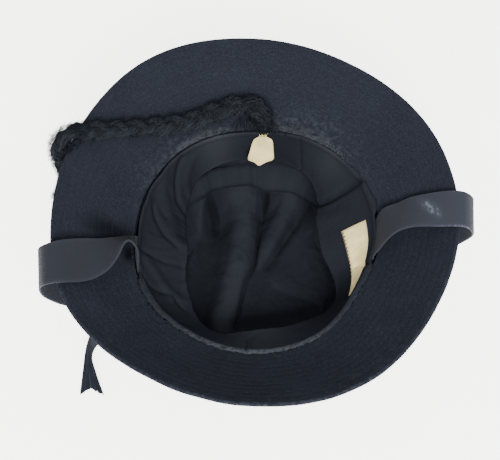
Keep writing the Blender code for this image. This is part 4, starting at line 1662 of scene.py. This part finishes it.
def edge_fibres(draw):
    """Fibres all round the brim's outer edge, longest on the left."""
    runs = []
    for _ in range(EDGE_FIBRES):
        angle, side = draw.uniform(0, 360), draw.choice((1, -1))
        start = brim_point(angle, 1 - draw.uniform(0, 0.012), side)
        heading = (polar(angle, 1, 0) + Vector((0, 0, side * 0.5))).normalized()
        length = sizes().nap * draw.uniform(0.4, 1.1) * (1 + 0.9 * near_angle(angle, 172, 22))
        runs.append(hair_run(draw, start, heading, length, 0.1 * MM, 0.1 + 0.25 * draw.random(), 0.8))
    for _ in range(TUFT_FIBRES):
        angle = draw.gauss(TUFT_ANGLE, 0.7)
        heading = (polar(angle, 1, 0.1) + scatter(draw, 0.5)).normalized()
        start = brim_point(angle, 0.99, draw.choice((1, -1)))
        runs.append(hair_run(draw, start, heading, draw.uniform(1.5, 4.5) * MM, 0.3 * MM, 0.0, 0.8))
    return runs


def rim_fibres(draw):
    """Fibres over the frayed places round the opening."""
    runs = []
    for fray in FRAYED:
        for _ in range(fray.count):
            angle = (fray.angle + draw.gauss(0, fray.spread * 0.6)) % 360
            start = brim_point(angle, draw.uniform(fray.low, fray.high), 1)
            heading = polar(angle + 90, 1, 0.35) + polar(angle, draw.uniform(-0.8, 0.8), 0)
            worn = draw.uniform(0.2, 1) * (1.0 if fray.high < 0.1 else 0.55)
            length = draw.uniform(1.2, 4) * MM
            runs.append(hair_run(draw, start, heading.normalized(), length, 0.16 * MM, worn, 0.7))
    return runs


def root_yarns(draw):
    """Ends of yarn that spread over the brim where the plait is sewn in at the back."""
    runs = []
    for _ in range(ROOT_YARNS):
        across = draw.gauss(4, 9)
        back = 96 - 0.02 * across * across + draw.uniform(-3, 3)
        start = Vector((across * 0.8, back, 108 + draw.uniform(-2, 5)))
        end = Vector((across, draw.uniform(83.5, 88) - 0.006 * across * across, 101.2 + draw.random()))
        heading, length = (end - start).normalized(), (end - start).length * MM
        thickness, worn = draw.uniform(0.4, 1.2) * MM, draw.random() * 0.5
        runs.append(hair_run(draw, start * MM, heading, length, thickness, worn, 0.3))
    return runs


class CAP_OT_fibres(bpy.types.Operator):
    """Makes the loose fibres at the brim's edge and over the frayed places round the opening"""

    bl_idname = "cap.fibres"
    bl_label = "Loose fibres"

    def execute(self, context):
        draw = random.Random(5)
        dress(threads_net("brim_edge_fibres", edge_fibres(draw), sides=3), "brim_wool", "fibre")
        dress(threads_net("rim_fibres", rim_fibres(draw), sides=3), "brim_wool", "fibre")
        dress(threads_net("root_yarns", root_yarns(draw), sides=4), "yarn", "yarn")
        return {"FINISHED"}


# The stage

CAMERA_TARGET = Vector((-3.9, 4.1, 100)) * MM
CAMERA_AWAY = 0.9
CAMERA_ELEVATION = 63
PICTURE_SCALE = 1374
PICTURE_WIDTH = 500
SENSOR = 36
FLOOR_SIZE = 4
FLOOR_DROP = 0.2 * MM
FLOOR_GLOW = 4.2
DAYLIGHT = (1, 0.99, 0.975, 1)
LAMP_PLACE = (0.1, -1.26, 1.52)
LAMP_SIZE = 0.8
LAMP_POWER = 74
LAMP_COLOUR = (1, 0.985, 0.96)


def add_camera():
    """The camera, above the front of the cap as in the photo."""
    camera = bpy.data.objects.new("camera", bpy.data.cameras.new("camera"))
    rise = math.radians(CAMERA_ELEVATION)
    camera.location = CAMERA_TARGET + Vector((0, -math.cos(rise), math.sin(rise))) * CAMERA_AWAY
    camera.rotation_euler = (math.radians(90 - CAMERA_ELEVATION), 0, 0)
    camera.data.sensor_width = SENSOR
    camera.data.lens = SENSOR * CAMERA_AWAY * PICTURE_SCALE / PICTURE_WIDTH
    bpy.context.scene.collection.objects.link(camera)
    bpy.context.scene.camera = camera


def add_lamp():
    """The large soft lamp above the front of the cap."""
    data = bpy.data.lights.new("key", "AREA")
    data.shape = "DISK"
    data.size = LAMP_SIZE
    data.energy = LAMP_POWER
    data.color = LAMP_COLOUR
    lamp = bpy.data.objects.new("key", data)
    lamp.location = LAMP_PLACE
    lamp.rotation_euler = (Vector(LAMP_PLACE) - CAMERA_TARGET).to_track_quat("Z", "Y").to_euler()
    bpy.context.scene.collection.objects.link(lamp)


def add_floor():
    """The plain pale floor, which glows and so also lights the cap from below."""
    net = bmesh.new()
    bmesh.ops.create_grid(net, x_segments=1, y_segments=1, size=FLOOR_SIZE)
    bmesh.ops.translate(net, verts=net.verts, vec=(0, 0, -FLOOR_DROP))
    floor = finished("floor", net)
    # The floor's emission is painted light: it glows like a lamp and lights the cap's undersides
    paper = Finish("floor", Specular_IOR_Level=0.1, Emission_Strength=FLOOR_GLOW)
    tone = paper.noise(3, 2)
    shade = paper.mix(tone, (0.9, 0.89, 0.87), (0.93, 0.92, 0.9))
    paper.feed(paper.shader.inputs["Emission Color"], shade)
    floor.data.materials.append(paper.finish(shade, 0.9 - tone * 0.05, tone, 0.0, MM))
    floor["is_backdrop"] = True


def add_daylight():
    """The even light of the room."""
    world = bpy.data.worlds.new("room")
    world.use_nodes = True
    world.node_tree.nodes["Background"].inputs["Color"].default_value = DAYLIGHT
    bpy.context.scene.world = world


class CAP_OT_stage(bpy.types.Operator):
    """Makes the pale floor, the soft light and the camera"""

    bl_idname = "cap.stage"
    bl_label = "Stage"

    def execute(self, context):
        add_camera()
        add_floor()
        add_daylight()
        add_lamp()
        return {"FINISHED"}


OPERATORS = (
    CAP_OT_stage,
    CAP_OT_plait,
    CAP_OT_chin_strap,
    CAP_OT_crown,
    CAP_OT_brim,
    CAP_OT_brim_stitches,
    CAP_OT_lining,
    CAP_OT_sweatband,
    CAP_OT_ribbon,
    CAP_OT_labels,
    CAP_OT_fibres,
)


class CAP_PT_panel(bpy.types.Panel):
    """The cap's sizes and colours, with a button for each piece."""

    bl_label = "Sailor cap"
    bl_idname = "CAP_PT_panel"
    bl_space_type = "VIEW_3D"
    bl_region_type = "UI"
    bl_category = "Sailor cap"

    def draw(self, context):
        for group in (context.scene.cap_sizes, context.scene.cap_colours):
            column = self.layout.column(align=True)
            for name in group.bl_rna.properties.keys():
                if name not in ("rna_type", "name"):
                    column.prop(group, name)
        for operator in OPERATORS:
            self.layout.operator(operator.bl_idname)


CLASSES = (CapSizes, CapColours, *OPERATORS, CAP_PT_panel)


def register():
    for made in CLASSES:
        bpy.utils.register_class(made)
    bpy.types.Scene.cap_sizes = PointerProperty(type=CapSizes)
    bpy.types.Scene.cap_colours = PointerProperty(type=CapColours)


def unregister():
    del bpy.types.Scene.cap_colours
    del bpy.types.Scene.cap_sizes
    for made in reversed(CLASSES):
        bpy.utils.unregister_class(made)


def main():
    register()
    bpy.ops.cap.stage()
    bpy.ops.cap.plait()
    bpy.ops.cap.chin_strap()
    bpy.ops.cap.crown()
    bpy.ops.cap.brim()
    bpy.ops.cap.brim_stitches()
    bpy.ops.cap.lining()
    bpy.ops.cap.sweatband()
    bpy.ops.cap.ribbon()
    bpy.ops.cap.labels()
    bpy.ops.cap.fibres()
    boxes = {"cad": CAD_BOX, "visual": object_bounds()}
    {name: [list(corner) for corner in box] for name, box in boxes.items()}


if __name__ == "__main__":
    main()
